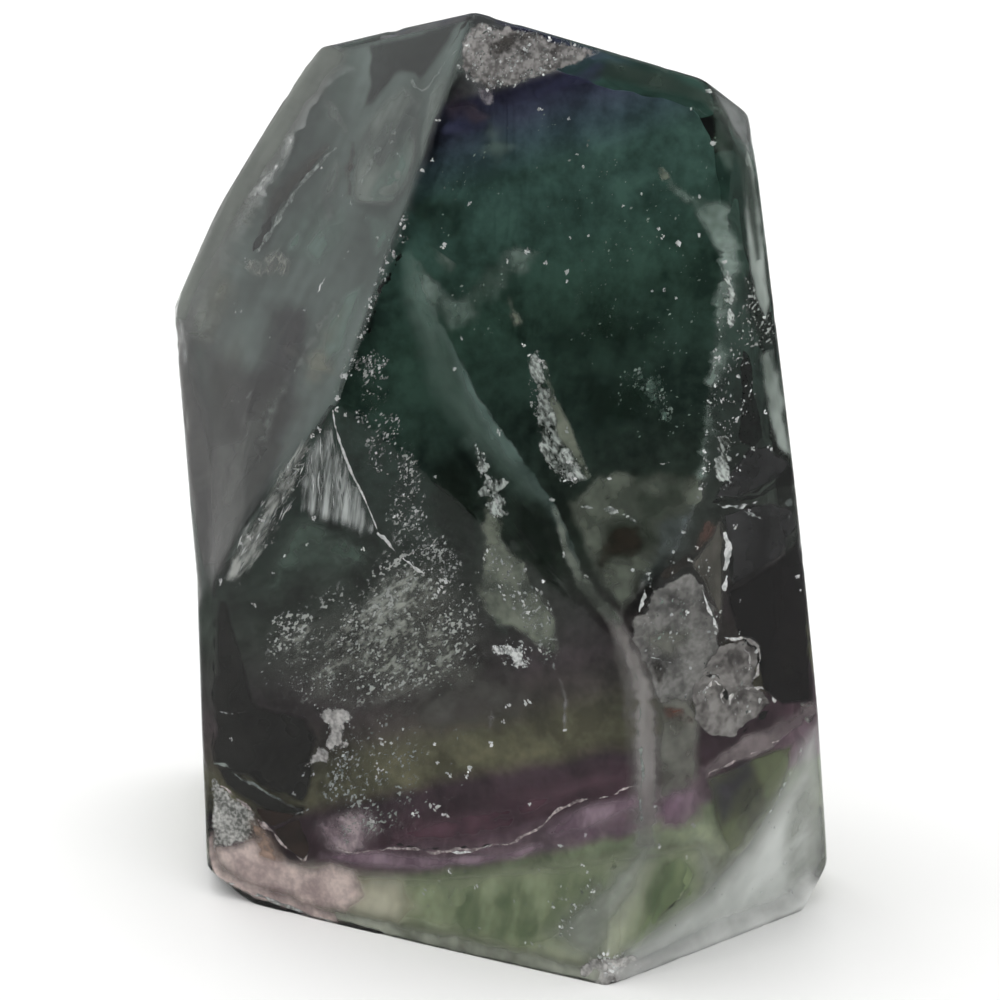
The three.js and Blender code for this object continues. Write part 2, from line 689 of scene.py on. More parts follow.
    def material(self) -> bpy.types.Material:
        """Makes the film's material, once.

        Returns:
            The material.
        """
        if self.name in bpy.data.materials:
            return bpy.data.materials[self.name]
        made, tree = blank_material(self.name)
        if self.pattern is Pattern.SCALE:
            own = add_node(tree, "ShaderNodeUVMap", uv_map="sheet")
            shader = self.body(tree, add_node(tree, "ShaderNodeSeparateXYZ", {0: own}).outputs["X"])
        else:
            thick, crisp = self.broken(tree)
            broad = add_node(tree, "ShaderNodeMath", {0: thick, 1: 1 - self.grain}, operation="MULTIPLY")
            mixed = add_node(tree, "ShaderNodeMath", {0: crisp, 1: self.grain, 2: broad},
                             operation="MULTIPLY_ADD")
            cover = add_node(tree, "ShaderNodeMapRange", {
                "Value": mixed, "To Min": self.cover[0], "To Max": self.cover[1]})
            shader = add_node(tree, "ShaderNodeMixShader", {
                0: self.thinned(tree, cover, thick, crisp), 1: add_node(tree, "ShaderNodeBsdfTransparent"),
                2: self.body(tree, mixed)})
        add_node(tree, "ShaderNodeOutputMaterial", {"Surface": shader})
        return made


@dataclass(frozen=True)
class PolishedFluorite:
    """Clear fluorite, ground flat and polished on a wheel.

    It is see-through with a low refractive index, soft enough that the wheel leaves fine
    scratches, and its colour comes from what the stone takes out of the light on its way.

    Attributes:
        roughness: How dull the polish is.
        marks_span: Millimetres from one swell of the wheel's marks to the next.
        marks_depth: How deep, in millimetres, those marks go. The real ones are finer than can show.
        shine: How much of a plain polish's mirroring the worn surface keeps, seen straight on.
        body_colour: The tint of a thick piece.
        absorb_per_m: How strongly it tints.
    """

    roughness: float = 0.035
    marks_span: float = 1000 / 260
    marks_depth: float = 0.1
    shine: float = 0.45
    body_colour: str = "7fa39a"
    absorb_per_m: float = 42.0

    def material(self) -> bpy.types.Material:
        """Makes the finish.

        Returns:
            The material.
        """
        made, tree = blank_material("polished_fluorite")
        place = add_node(tree, "ShaderNodeTexCoord").outputs["Object"]
        scratches = add_node(tree, "ShaderNodeTexNoise", {
            "Vector": place, "Scale": 1 / (self.marks_span * MM), "Detail": 2.0, "Roughness": 0.6})
        bump = add_node(tree, "ShaderNodeBump", {
            "Strength": 0.05, "Distance": self.marks_depth * MM, "Height": scratches})
        glass = add_node(tree, "ShaderNodeBsdfPrincipled", {
            "Base Color": (1.0, 1.0, 1.0, 1.0), "Transmission Weight": 1.0, "IOR": FLUORITE_IOR,
            "Specular Tint": (self.shine, self.shine, self.shine, 1.0), "Roughness": self.roughness,
            "Normal": bump})
        inside = add_node(tree, "ShaderNodeVolumeAbsorption",
                          {"Color": linear(self.body_colour), "Density": self.absorb_per_m})
        add_node(tree, "ShaderNodeOutputMaterial", {"Surface": glass, "Volume": inside})
        return made


@dataclass(frozen=True)
class GrowthBands:
    """The coloured layers that the crystal laid down as it grew, clouded and uneven.

    Violet, green and blue follow one another in flat layers that all lie square to one
    direction. Clouds of tiny bubbles blur them and let deeper, darker stone show between.

    Attributes:
        layers: Millimetres along the growth direction, and the colour from there on.
        top: Millimetres along the growth direction to the last layer's end.
        waver: How far, in millimetres, the clouds bend the layers.
        darker: How much the clear patches darken the colour.
        cloud: Millimetres from one cloud to the next.
        patch: Millimetres from one clear patch to the next.
        fleck: Millimetres from one fleck to the next.
    """

    layers: tuple[tuple[float, str], ...] = (
        (0.0, "c3c7ae"), (4.6, "a9b592"), (5.4, "9c8590"), (7.6, "8d727f"), (8.2, "5f4450"),
        (11.4, "5b4650"), (12.6, "8a8569"), (15.0, "7b775f"), (17.0, "645b56"), (19.5, "5a4e52"),
        (22.5, "545150"), (27.0, "4f564f"), (36.0, "3b4b44"), (46.0, "425b50"), (56.0, "4f6c64"),
        (58.5, "53676f"), (60.5, "50566a"), (62.6, "45445c"), (63.2, "7a7a7c"), (70.0, "808080"))
    top: float = 72.0
    waver: float = 1.6
    darker: float = 0.5
    cloud: float = 6.5
    patch: float = 6.5 / 1.4
    fleck: float = 0.9

    def material(self) -> bpy.types.Material:
        """Makes the finish. The height along the growth direction picks the layer's colour.

        Returns:
            The material.
        """
        made, tree = blank_material("banded_fluorite")
        place = add_node(tree, "ShaderNodeTexCoord").outputs["Object"]
        along = add_node(tree, "ShaderNodeVectorMath", {0: place, 1: GROWTH_WAY}, operation="DOT_PRODUCT")
        clouds = add_node(tree, "ShaderNodeTexNoise", {
            "Vector": place, "Scale": 1 / (self.cloud * MM), "Detail": 4.0, "Roughness": 0.55})
        bent = add_node(tree, "ShaderNodeMath", {0: clouds, 1: self.waver * MM, 2: along.outputs["Value"]},
                        operation="MULTIPLY_ADD")
        top, shift = self.top * MM, self.waver * MM / 2
        share = add_node(tree, "ShaderNodeMapRange", {
            "Value": bent, "From Min": shift, "From Max": top + shift})
        stops = [(min(level * MM / top, 1.0), shade) for level, shade in self.layers]
        layer = add_node(tree, "ShaderNodeValToRGB", {0: share}, stops=stops)
        depth = add_node(tree, "ShaderNodeTexNoise", {
            "Vector": place, "Scale": 1 / (self.patch * MM), "Detail": 3.0, "Roughness": 0.6})
        flecks = add_node(tree, "ShaderNodeTexNoise", {
            "Vector": place, "Scale": 1 / (self.fleck * MM), "Detail": 2.0, "Roughness": 0.7})
        mixed = add_node(tree, "ShaderNodeMath", {0: flecks, 1: 0.3, 2: depth}, operation="MULTIPLY_ADD")
        shade = add_node(tree, "ShaderNodeMapRange", {
            "Value": mixed, "From Min": 0.5, "From Max": 0.82, "To Min": 1 - self.darker, "To Max": 1.2})
        toned = add_node(tree, "ShaderNodeVectorMath", {0: layer, "Scale": shade}, operation="SCALE")
        body = add_node(tree, "ShaderNodeBsdfPrincipled", {
            "Base Color": toned, "Roughness": 0.9, "Specular IOR Level": 0.0})
        add_node(tree, "ShaderNodeOutputMaterial", {"Surface": body})
        return made


# ---------------------------------------------------------------- the kinds of piece inside


def rim_distance(marks: Array, rim: Array) -> Array:
    """How far marks lie from a closed rim.

    Args:
        marks: One row for each mark.
        rim: One row for each of the rim's marks, in order.

    Returns:
        One distance for each mark.
    """
    way = np.roll(rim, -1, axis=0) - rim
    spoke = marks[:, None] - rim
    share = np.clip((spoke * way).sum(-1) / np.maximum((way**2).sum(-1), 1e-9), 0.0, 1.0)
    return np.linalg.norm(spoke - share[..., None] * way, axis=-1).min(1)


@dataclass(frozen=True)
class Sheet:
    """A film inside the stone, bounded by an outline that the eye sees.

    Attributes:
        name: The piece's name.
        film: Its finish.
        outline: The marks round its rim, in order, each as rightwards then downwards.
        depth: Millimetres behind the face it is seen through.
        rumple: How far, in millimetres, it is crumpled out of flat.
        rumple_span: Millimetres from one crumple to the next.
        fray: How far its rim wanders, in millimetres.
        rim_step: Marks between the points of its rim.
        row_step: Marks between its rings of points.
    """

    name: str
    film: Film
    outline: Marks
    depth: float = 1.5
    rumple: float = 0.12
    rumple_span: float = 5.0
    fray: float = 0.35
    rim_step: float = 4.0
    row_step: float = 6.0

    def build(self, sighting: Sighting) -> bpy.types.Object:
        """Makes the film as a surface of two parameters: round its rim, and from rim to middle.

        A point is the middle plus a share of the way to the rim. Random waves move the rim
        sideways and the whole surface in depth.

        Args:
            sighting: Who sees it.

        Returns:
            The piece.
        """
        corners = np.array(self.outline, float).reshape(-1, 2)
        rim = walk_round(corners, self.rim_step)
        middle = corners.mean(0)
        # The length of the name tells one film's waves from another's.
        waves = Rumple(len(self.name), 3.0, 4).at(laid_flat(rim))
        wander = 1 + self.fray * MARKS_PER_MM * waves / np.maximum(
            np.linalg.norm(rim - middle, axis=1), 20.0)
        rim = middle + wander[:, None] * (rim - middle)
        rows = int(np.clip(np.linalg.norm(rim - middle, axis=1).max() / self.row_step, 6, 60))
        shares = np.linspace(1.0, 0.0, rows + 1)[:-1]
        marks = (middle + shares[:, None, None] * (rim - middle)).reshape(-1, 2)
        marks = np.concatenate([marks, middle[None]])
        inwards = rim_distance(marks, rim) / MARKS_PER_MM
        # A narrow film is still whole at its middle.
        inwards *= max(1.0, 1.15 * (self.film.ragged + self.film.fade) / inwards.max())
        along = np.append(np.tile(np.arange(len(rim)) * 0.3, rows), 0.0)
        edge = np.column_stack([along, inwards])
        bumps = self.rumple * Rumple(len(self.name) + 5, self.rumple_span, 3).at(laid_flat(marks))
        points = sighting.inside(marks, np.maximum(self.depth + bumps, LEAST_DEPTH))
        piece = mesh_object(self.name, points * MM, disc_faces(rows, len(rim)), edge)
        return dress(piece, self.film.material())


@dataclass(frozen=True)
class Ribbon:
    """A long crack or veil, carried along a path that the eye sees.

    Attributes:
        name: The piece's name.
        film: Its finish.
        path: The marks along its middle, each as rightwards then downwards.
        widths: Its whole width, in millimetres, at its start, at its middle and at its end.
        depth: Millimetres behind the face it is seen through.
        lean: How much deeper, in millimetres, its left edge lies than its right.
        rumple: How far, in millimetres, it is crumpled out of flat.
        wander: How far, in millimetres, its middle strays from the path.
        uneven: How much its width swells and shrinks, from 0 for not at all.
        keen: How many times sooner than its film says it is whole, from its left edge and from
            its right.
        step: Marks between its points along the path.
    """

    name: str
    film: Film
    path: Marks
    widths: Triple = (1.0, 1.0, 1.0)
    depth: float = 1.5
    lean: float = 0.0
    rumple: float = 0.1
    wander: float = 0.15
    uneven: float = 0.3
    keen: Pair = (1.0, 1.0)
    step: float = 2.5

    def build(self, sighting: Sighting) -> bpy.types.Object:
        """Makes the ribbon as a surface of two parameters: along the path and across it.

        A point is the path's point plus a share of the half width, square to the path.

        Args:
            sighting: Who sees it.

        Returns:
            The piece.
        """
        knots = np.array(self.path, float).reshape(-1, 2)
        reach = np.append(0.0, np.cumsum(np.linalg.norm(np.diff(knots, axis=0), axis=1)))
        count = int(max(reach[-1] / self.step, 12))
        run = np.linspace(0.0, reach[-1], count)
        middle = np.column_stack([np.interp(run, reach, knots[:, 0]), np.interp(run, reach, knots[:, 1])])
        flat = laid_flat(middle)
        heading = np.gradient(middle, axis=0)
        heading /= np.linalg.norm(heading, axis=1, keepdims=True)
        side = np.column_stack([-heading[:, 1], heading[:, 0]])
        strays = MARKS_PER_MM * self.wander * Rumple(len(self.name), 2.4, 4).at(flat)
        middle = middle + side * strays[:, None]
        swell = np.clip(1 + 1.6 * self.uneven * Rumple(len(self.name) + 2, 1.5, 3).at(flat), 0.12, 2.5)
        width = swell * np.interp(run / reach[-1], [0.0, 0.5, 1.0], self.widths)
        steps = int(np.clip(width.max() * MARKS_PER_MM / 4.0, 4, 40))
        across = np.linspace(-1.0, 1.0, steps + 1)
        half = (width * (MARKS_PER_MM / 2))[:, None, None]
        marks = (middle[:, None] + across[:, None] * half * side[:, None]).reshape(-1, 2)
        spread = np.tile(across, count)
        ends = np.minimum(run, reach[-1] - run)[:, None] / MARKS_PER_MM + 0.05
        near = np.minimum((1 + across) * self.keen[1], (1 - across) * self.keen[0])
        inwards = np.minimum(near * (width / 2)[:, None], ends).reshape(-1)
        edge = np.column_stack([np.repeat(run / MARKS_PER_MM, steps + 1), inwards])
        bumps = self.rumple * Rumple(len(self.name) + 5, 2.5, 3).at(laid_flat(marks))
        bumps += self.lean * (spread + 1) / 2
        points = sighting.inside(marks, np.maximum(self.depth + bumps, LEAST_DEPTH))
        piece = mesh_object(self.name, points * MM, grid_faces(count, steps + 1), edge)
        return dress(piece, self.film.material())


@dataclass(frozen=True)
class Leaves:
    """What the strewn and the placed scales share: crooked four-cornered leaves.

    Attributes:
        lie: Degrees that long scales lean to the right of upright, as the eye sees them.
        stray: Degrees that they stray from that lean.
        slender: How many times longer than wide they are.
        dim: How few are bright, from 1 for as many as dull ones upwards.
    """

    lie: float = 20.0
    stray: float = 28.0
    slender: float = 1.6
    dim: float = 1.8

    def build(self, name: str, film: Film, sighting: Sighting, places: Array, length: Array,
              dice: np.random.Generator) -> bpy.types.Object:
        """Stands a leaf at each place. Its four corners stand off along two slanted directions.

        Args:
            name: The piece's name.
            film: Its finish.
            sighting: Who sees them.
            places: One row of x, y, z in millimetres for each leaf.
            length: The leaves' lengths, in millimetres.
            dice: Where the random shares come from.

        Returns:
            The piece, all leaves in one mesh.
        """
        count = len(places)
        right, up, ahead = sighting.eye.axes()
        lean = np.radians(self.lie + dice.normal(0, self.stray, count))[:, None]
        long = np.sin(lean) * right + np.cos(lean) * up + dice.normal(0, 0.35, (count, 1)) * ahead
        wide = np.cos(lean) * right - np.sin(lean) * up + dice.normal(0, 0.45, (count, 1)) * ahead
        long *= length[:, None] / 2
        wide *= length[:, None] / 2 / self.slender
        jitter = dice.uniform(0.6, 1.2, (4, count, 1))
        leaves = np.stack([places + jitter[0] * long, places + jitter[1] * wide,
                           places - jitter[2] * long, places - jitter[3] * wide], 1)
        points = sighting.form.held_inside(leaves.reshape(-1, 3), SKIN_MARGIN)
        tone = np.repeat(dice.uniform(size=count) ** self.dim, 4)
        tones = np.column_stack([tone, np.ones(len(tone))])
        quads = np.arange(count * 4).reshape(-1, 4)
        return dress(mesh_object(name, points * MM, quads, tones, smooth=False), film.material())


@dataclass(frozen=True)
class Flakes:
    """Scattered scales: tiny cleavage mirrors and bubbles, strewn over an outline the eye sees.

    Attributes:
        name: The piece's name.
        film: Their finish.
        outline: The marks round the strewn patch, in order.
        count: How many are strewn before the gaps between clumps are cleared.
        size: The length of the smallest and of the largest scale, in millimetres.
        depth: The least and the most depth behind the face, in millimetres.
        clump: How bare the gaps are, from -1 for no gaps to 0.5 for a few tight clumps, and the
            millimetres from one clump to the next.
        leaves: How the scales lie and what shape they are.
    """

    name: str
    film: Film
    outline: Marks
    count: int = 600
    size: Pair = (0.1, 0.4)
    depth: Pair = (0.4, 2.0)
    clump: Pair = (0.0, 3.0)
    leaves: Leaves = Leaves()

    def build(self, sighting: Sighting) -> bpy.types.Object:
        """Strews the scales.

        A scale's place is the outline's middle plus a random share of the way to a random point
        of its rim. Towards the rim and between the clumps they are cleared away.

        Args:
            sighting: Who sees them.

        Returns:
            The piece, all scales in one mesh.
        """
        dice = np.random.default_rng(sum(map(ord, self.name)))
        corners = np.array(self.outline, float).reshape(-1, 2)
        middle = corners.mean(0)
        spans = corners - middle
        areas = np.abs(np.cross(spans, np.roll(spans, -1, axis=0))) + 1e-6
        side = dice.choice(len(corners), self.count, p=areas / areas.sum())
        part, share = dice.uniform(size=(2, self.count, 1))
        rim = corners[side] * (1 - part) + np.roll(corners, -1, axis=0)[side] * part
        marks = middle + np.sqrt(share) * (rim - middle)
        bare = self.clump[0] + 0.35 * share[:, 0] ** 3 + dice.normal(0, 0.1, self.count)
        marks = marks[Rumple(len(self.name), self.clump[1], 4).at(laid_flat(marks)) > bare]
        depth = self.depth[0] + (self.depth[1] - self.depth[0]) * dice.uniform(size=len(marks)) ** 1.5
        places = sighting.inside(marks, depth)
        length = self.size[0] + (self.size[1] - self.size[0]) * dice.uniform(size=len(marks)) ** 3
        return self.leaves.build(self.name, self.film, sighting, places, length, dice)


@dataclass(frozen=True)
class Specks:
    """Single bright points, each a small knot of scales at its own mark. With the near-white film they are
    painted glints as well as white grains.

    Attributes:
        name: The piece's name.
        film: Their finish.
        spots: A mark's two numbers and the knot's size in millimetres, for one speck after another.
        depth: Millimetres behind the face they are seen through.
        knot: How many scales make up one speck.
        leaves: How the scales lie and what shape they are.
    """

    name: str
    film: Film
    spots: Marks
    depth: float = 0.5
    knot: int = 5
    leaves: Leaves = Leaves(dim=0.5, stray=60.0)

    def build(self, sighting: Sighting) -> bpy.types.Object:
        """Strews each knot's scales round its mark, nearer than half its size.

        Args:
            sighting: Who sees them.

        Returns:
            The piece, all specks in one mesh.
        """
        dice = np.random.default_rng(sum(map(ord, self.name)))
        spots = np.repeat(np.array(self.spots, float).reshape(-1, 3), self.knot, axis=0)
        sizes = spots[:, 2]
        marks = spots[:, :2] + dice.normal(0, 0.22, (len(spots), 2)) * sizes[:, None] * MARKS_PER_MM
        places = sighting.inside(marks, self.depth + dice.uniform(0, 0.2, len(spots)))
        length = sizes * dice.uniform(0.45, 0.9, len(spots))
        return self.leaves.build(self.name, self.film, sighting, places, length, dice)


Inlay = Sheet | Ribbon | Flakes | Specks


@dataclass(frozen=True)
class Group:
    """What lies together inside the stone.

    Attributes:
        inlays: The group's pieces with their sizes, in the order in which they are made.
    """

    inlays: tuple[Inlay, ...] = ()

    def build(self, sighting: Sighting) -> list[bpy.types.Object]:
        """Makes and dresses each piece of the group, where the sighting's eye sees it."""
        return [inlay.build(sighting) for inlay in self.inlays]


# ---------------------------------------------------------------- films

# Smoke: brown and grey clouds too fine to make out. They dim what lies behind them, softly.
SMOKE = Film("smoky_healed_layer", "545e5a", "7c8984", (0.85, 1.0), 8.0, 0.4, 0.1, sweep=28, stretch=2.0,
    steep=0.0)
SMOKE_OLIVE = Film("olive_smoke", "5c5e53", "888b7c", (0.1, 0.8), 7.0, 2.5, 0.8, sweep=28, stretch=2.0,
    steep=0.0)
SMOKE_DUSK = Film("dusky_smoke", "302e2f", "454345", (0.3, 0.95), 6.0, 1.8, 0.6, sweep=28, stretch=1.6,
    steep=0.0)
SMOKE_TEAL = Film("teal_smoke", "56685f", "7f968d", (0.1, 0.75), 5.0, 1.6, 0.5, sweep=28, stretch=1.5,
    steep=0.0)
PALE_SMOKE_AND_HIGHLIGHT = Film("pale_smoky_layer_and_highlight", "5c6462", "8c958e", (0.4, 0.9), 5.0, 0.8, 0.3, sweep=28, stretch=1.5,
    steep=0.0)
# Painted shade: the dark beside the cleft and in the fold of the crown's left face, laid as brown smoke.
BROWN_PAINTED_SHADE = Film("brown_painted_shade", "35342f", "4c4a45", (0.6, 0.95), 4.0, 1.0, 0.3, sweep=28, stretch=1.5,
    steep=0.0)
LOW_SMOKE = Film("brownish_low_smoke", "2a2a28", "40403d", (0.55, 0.97), 6.0, 3.2, 0.1, sweep=28,
    stretch=2.0, steep=0.0)
TIP_SMOKE = Film("dusky_tip_smoke", "3b3e3a", "4e514d", (0.8, 1.0), 5.0, 1.1, 0.0, sweep=28, stretch=2.0,
    steep=0.0)
EDGE_SMOKE = Film("smoky_edge", "6a7069", "868c84", (0.9, 1.0), 6.0, 1.2, 0.1, sweep=28, stretch=2.0,
    steep=0.0)
EDGE_DUSK = Film("dusky_edge", "444343", "5b5b58", (0.95, 1.0), 6.0, 2.0, 0.0, steep=0.0)

# Hazes: thin air and dust, pale where they gather and gone where they do not.
HEM = Film("pale_edge_haze", "8b9189", "a9afa6", (0.3, 0.8), 5.0, 1.6, 0.0, sweep=28, stretch=1.6, steep=0.0)
FAINT_HAZE = Film("faint_edge_haze", "686d66", "8d938b", (0.0, 0.55), 4.0, 1.6, 0.5, sweep=33, stretch=3.0,
    steep=0.0)
GLOW = Film("pale_air_glow", "a8aeaa", "dde1de", (0.05, 0.75), 2.4, 1.8, 0.0, sweep=28, stretch=2.0,
    steep=0.0)
HAZE = Film("grey_haze", "5b5b55", "85857e", (0.2, 0.75), 3.0, 4.0, 0.6, sweep=60, stretch=2.4)
DUSK_HAZE = Film("brownish_haze", "3b3735", "625c58", (0.1, 0.7), 5.0, 2.2, 1.5, sweep=80, stretch=2.5)

# Open cracks: a film of air between two faces, seen edge on as a white or a dark line.
THREAD = Film("fine_crack_line", "8d9391", "e8ebea", (0.5, 1.0), 0.8, 0.08, 0.06, grain=0.4, grain_size=0.4)
AIR_LINE = Film("open_crack_edge", "c4c8c6", "ffffff", (0.75, 1.0), 0.9, 0.05, 0.05, grain=0.4,
    grain_size=0.3, mirror=0.2)
AIR_SOFT = Film("bright_air_pocket", "d9dddb", "ffffff", (0.5, 1.0), 1.0, 0.3, 0.15)
ROSE_LINE = Film("rosy_crack_edge", "9a898c", "efe3e1", (0.5, 1.0), 0.9, 0.04, 0.05, grain=0.5,
    grain_size=0.35)
CREST = Film("dull_crack_edge", "76807b", "aab2ad", (0.4, 0.95), 1.0, 0.12, 0.1)
CREST_DIM = Film("dim_thread", "5f665e", "8f968c", (0.5, 0.9), 3.0, 0.5, 0.0)
KNOB_LINE = Film("knob_outline", "b5b1ae", "f6f4f2", (0.6, 1.0), 0.9, 0.12, 0.1)
GLEAM = Film("white_air_streak", "a5aba7", "fafcfb", (0.2, 0.95), 1.6, 0.7, 0.3, sweep=28, stretch=1.6,
    steep=0.0)
# Partly real dark seams, partly painted shadow: the dark lines beside the ridge, in the clefts and between
# the lumps.
SEAM_AND_SHADOW = Film("dark_seam_and_painted_shadow", "0e100f", "1b1e1c", (0.6, 1.0), 2.0, 0.1, 0.15)

# Frost: unhealed or crushed cleavage, countless tiny broken faces, each pale or dark as it leans.
FROST = Film("frosted_cleavage", "514f4d", "b9b5b3", (0.92, 1.0), 2.0, 0.3, 0.4, Pattern.FROST, steep=0.1,
    grain=0.55, grain_size=0.42)
FROST_DARK = Film("worn_frost", "3a3836", "5d5a57", (0.2, 0.9), 2.0, 0.6, 0.5, Pattern.FROST, grain=0.4,
    grain_size=0.4)
FROST_PALE = Film("chalky_frost", "8b8886", "e4e1df", (0.85, 1.0), 1.6, 0.25, 0.35, Pattern.FROST, grain=0.5,
    grain_size=0.45)
CORNER_FROST = Film("corner_frost", "565954", "e2e1de", (0.9, 1.0), 2.4, 0.3, 0.3, Pattern.FROST, grain=0.5,
    grain_size=0.3)
LILAC_FROST = Film("lilac_frost", "66626b", "b0abb0", (0.6, 1.0), 1.6, 0.4, 0.3, Pattern.FROST, grain=0.4,
    grain_size=0.45)
STAR_FROST = Film("crushed_white_frost", "8b8f8d", "fdfefd", (0.8, 1.0), 1.2, 0.25, 0.5, Pattern.FROST,
    steep=0.5, grain=0.5, grain_size=0.3)
SILVER = Film("silvery_air_crack", "30362f", "e4ebe6", (0.75, 1.0), 1.4, 0.3, 0.4, Pattern.FROST, sweep=-30,
    stretch=1.8, steep=0.4, grain=0.6, grain_size=0.34)
DRIFT = Film("speckled_drift", "44463f", "c4c7be", (0.12, 1.0), 3.0, 2.8, 2.0, Pattern.FROST, sweep=52,
    stretch=2.6, steep=0.2, grain=0.5, grain_size=0.4)

# Loose grains and scales: small cleavage mirrors that hang apart and glint one by one.
SPARK = Film("loose_glitter", "5a5e5b", "c8cbc7", (0.0, 0.95), 3.0, 1.6, 1.4, Pattern.SPARK, sweep=55,
    stretch=1.6, steep=0.0, grain=0.9, grain_size=0.3)
SPARK_FINE = Film("fine_glitter", "4e524f", "b9bdb9", (0.0, 0.9), 2.4, 1.2, 1.2, Pattern.SPARK, sweep=50,
    stretch=1.8, steep=0.0, grain=0.9, grain_size=0.26)
SCALE = Film("cleavage_scale", "5f6562", "f4f6f5", pattern=Pattern.SCALE, mirror=0.2, rough=0.25)
# Partly white grains, partly painted glint: near-white scales laid where points of light sparkle.
BRIGHT_SCALE_AND_GLINT = Film("bright_cleavage_scale_and_painted_glint", "d5d8d6", "ffffff", pattern=Pattern.SCALE, mirror=0.3,
    rough=0.2)
GREEN_SCALE = Film("green_cleavage_scale", "3f5148", "93a79b", pattern=Pattern.SCALE, mirror=0.1)
DULL_SCALE = Film("dull_cleavage_scale", "565c58", "b6bbb7", pattern=Pattern.SCALE, mirror=0.1)

# Veils: healed cracks full of bubbles, milky, and streaked the way the crack ran.
# Partly bubble veils, partly painted reflection: their bluish pale stands in for the room mirrored along a
# rounded ridge.
VEIL_AND_SHEEN = Film("bluish_bubble_veil_and_sheen", "5b6f65", "82988f", (0.2, 0.65), 6.0, 2.0, 0.3, sweep=-30, stretch=2.5,
    steep=0.0)
KEEN_VEIL_AND_SHEEN = Film("bright_bubble_veil_and_sheen", "5c706b", "80958e", (0.35, 0.75), 4.0, 1.0, 0.15, sweep=-30,
    stretch=3.0, steep=0.0)
VEIL_GREEN = Film("grey_green_veil", "687c71", "a0b0a8", (0.3, 0.88), 4.5, 1.3, 0.8, steep=0.2)
VEIL_GREY = Film("grey_bubble_veil", "6e6c6c", "b3afae", (0.3, 0.95), 3.4, 0.45, 0.3, stretch=5.0, steep=0.1)
GREY_GREEN = Film("grey_green_film", "586056", "929889", (0.5, 0.95), 3.0, 0.6, 0.4, steep=0.1)
COMB_FILL = Film("combed_crack", "767b78", "e0e4e2", (0.45, 1.0), 0.8, 1.0, 0.4, sweep=8, stretch=10.0,
    steep=0.2)
FLANK_FILL = Film("slanted_combed_crack", "6f726e", "cccec9", (0.3, 0.95), 0.9, 1.0, 0.5, sweep=34,
    stretch=9.0, steep=0.2)
SATIN = Film("grey_satin_layer", "8c968f", "bcc5bf", (0.7, 1.0), 3.0, 0.5, 0.3, stretch=4.0, steep=0.2)
# Partly a grey veil, partly painted highlight: the straight pale band along the ridge above it.
MAST_AND_SHEEN = Film("grey_upright_veil_and_sheen", "85817f", "aca7a5", (0.6, 0.95), 4.0, 0.9, 0.0, stretch=4.0, steep=0.0)
MAST_DARK = Film("dull_upright_veil", "66635f", "85817d", (0.3, 0.8), 3.0, 0.7, 0.0, stretch=4.0, steep=0.0)
SMEAR = Film("grey_green_smear", "8e938b", "b0b5ab", (0.5, 0.9), 3.6, 2.6, 0.0, sweep=45, stretch=3.0,
    steep=0.0)
STRAP = Film("greyish_mauve_strap", "6a6062", "968b8c", (0.7, 0.95), 3.0, 0.8, 0.1, steep=0.1)

# Knobbly and mossy breaks: rough where the crystal tore and did not part cleanly.
MOSS = Film("mossy_veil", "2b3d34", "73897f", (0.3, 0.95), 1.4, 0.35, 0.5, steep=0.4, grain=0.3,
    grain_size=0.5)
LUMPS = Film("knobbly_fracture", "4e4a49", "a8a4a1", (0.95, 1.0), 2.4, 0.15, 0.3, Pattern.FROST, steep=0.2,
    grain=0.45, grain_size=0.9)
LUMPS_SOFT = Film("soft_lumps", "62665f", "a0a49c", (0.2, 0.9), 2.0, 0.6, 0.4, Pattern.CELL, grain=0.3,
    grain_size=1.1)
PALE_PLATE = Film("rough_pale_fracture", "464544", "a09e9b", (0.88, 1.0), 3.2, 0.25, 0.3, steep=0.1,
    grain=0.3, grain_size=0.6)
PALE_OLIVE = Film("smooth_pale_fracture", "6b6c62", "92928a", (0.5, 0.95), 4.0, 1.0, 0.1, steep=0.0)
LEDGE = Film("olive_brown_ledge", "4e4c46", "75726a", (0.85, 1.0), 3.0, 0.5, 0.1, stretch=2.0, steep=0.0)
BACKING = Film("grey_brown_veil", "5e5b58", "807c78", (0.7, 0.98), 4.0, 2.6, 0.1, steep=0.0)
PLATE = Film("dull_slate_plane", "222223", "3b3b3c", (0.85, 1.0), 4.0, 0.25, 0.25)

# Cleavage planes: flat, dull and even, one dark tone from edge to edge.
SLATE = Film("slate_cleavage_plane", "2a2f2d", "3a403e", (0.8, 0.98), 8.0, 0.4, 0.5)
WEDGE_SLATE = Film("purplish_slate", "3f3c45", "57545c", (0.6, 0.95), 4.0, 1.6, 0.0, steep=0.0)
SLAB = Film("olive_cleavage_plane", "555a50", "82887c", (0.35, 0.85), 4.0, 0.9, 0.5)
SLAB_BLUE = Film("bluish_cleavage_plane", "4a5355", "737b7b", (0.3, 0.8), 4.0, 0.9, 0.6)
# Painted shade: the dark of the clear polished stone in the right face, laid as a near-black sheet.
PANE = Film("dark_purplish_window_shade", "0d0c0c", "151213", (0.97, 1.0), 7.0, 0.3, 0.15)

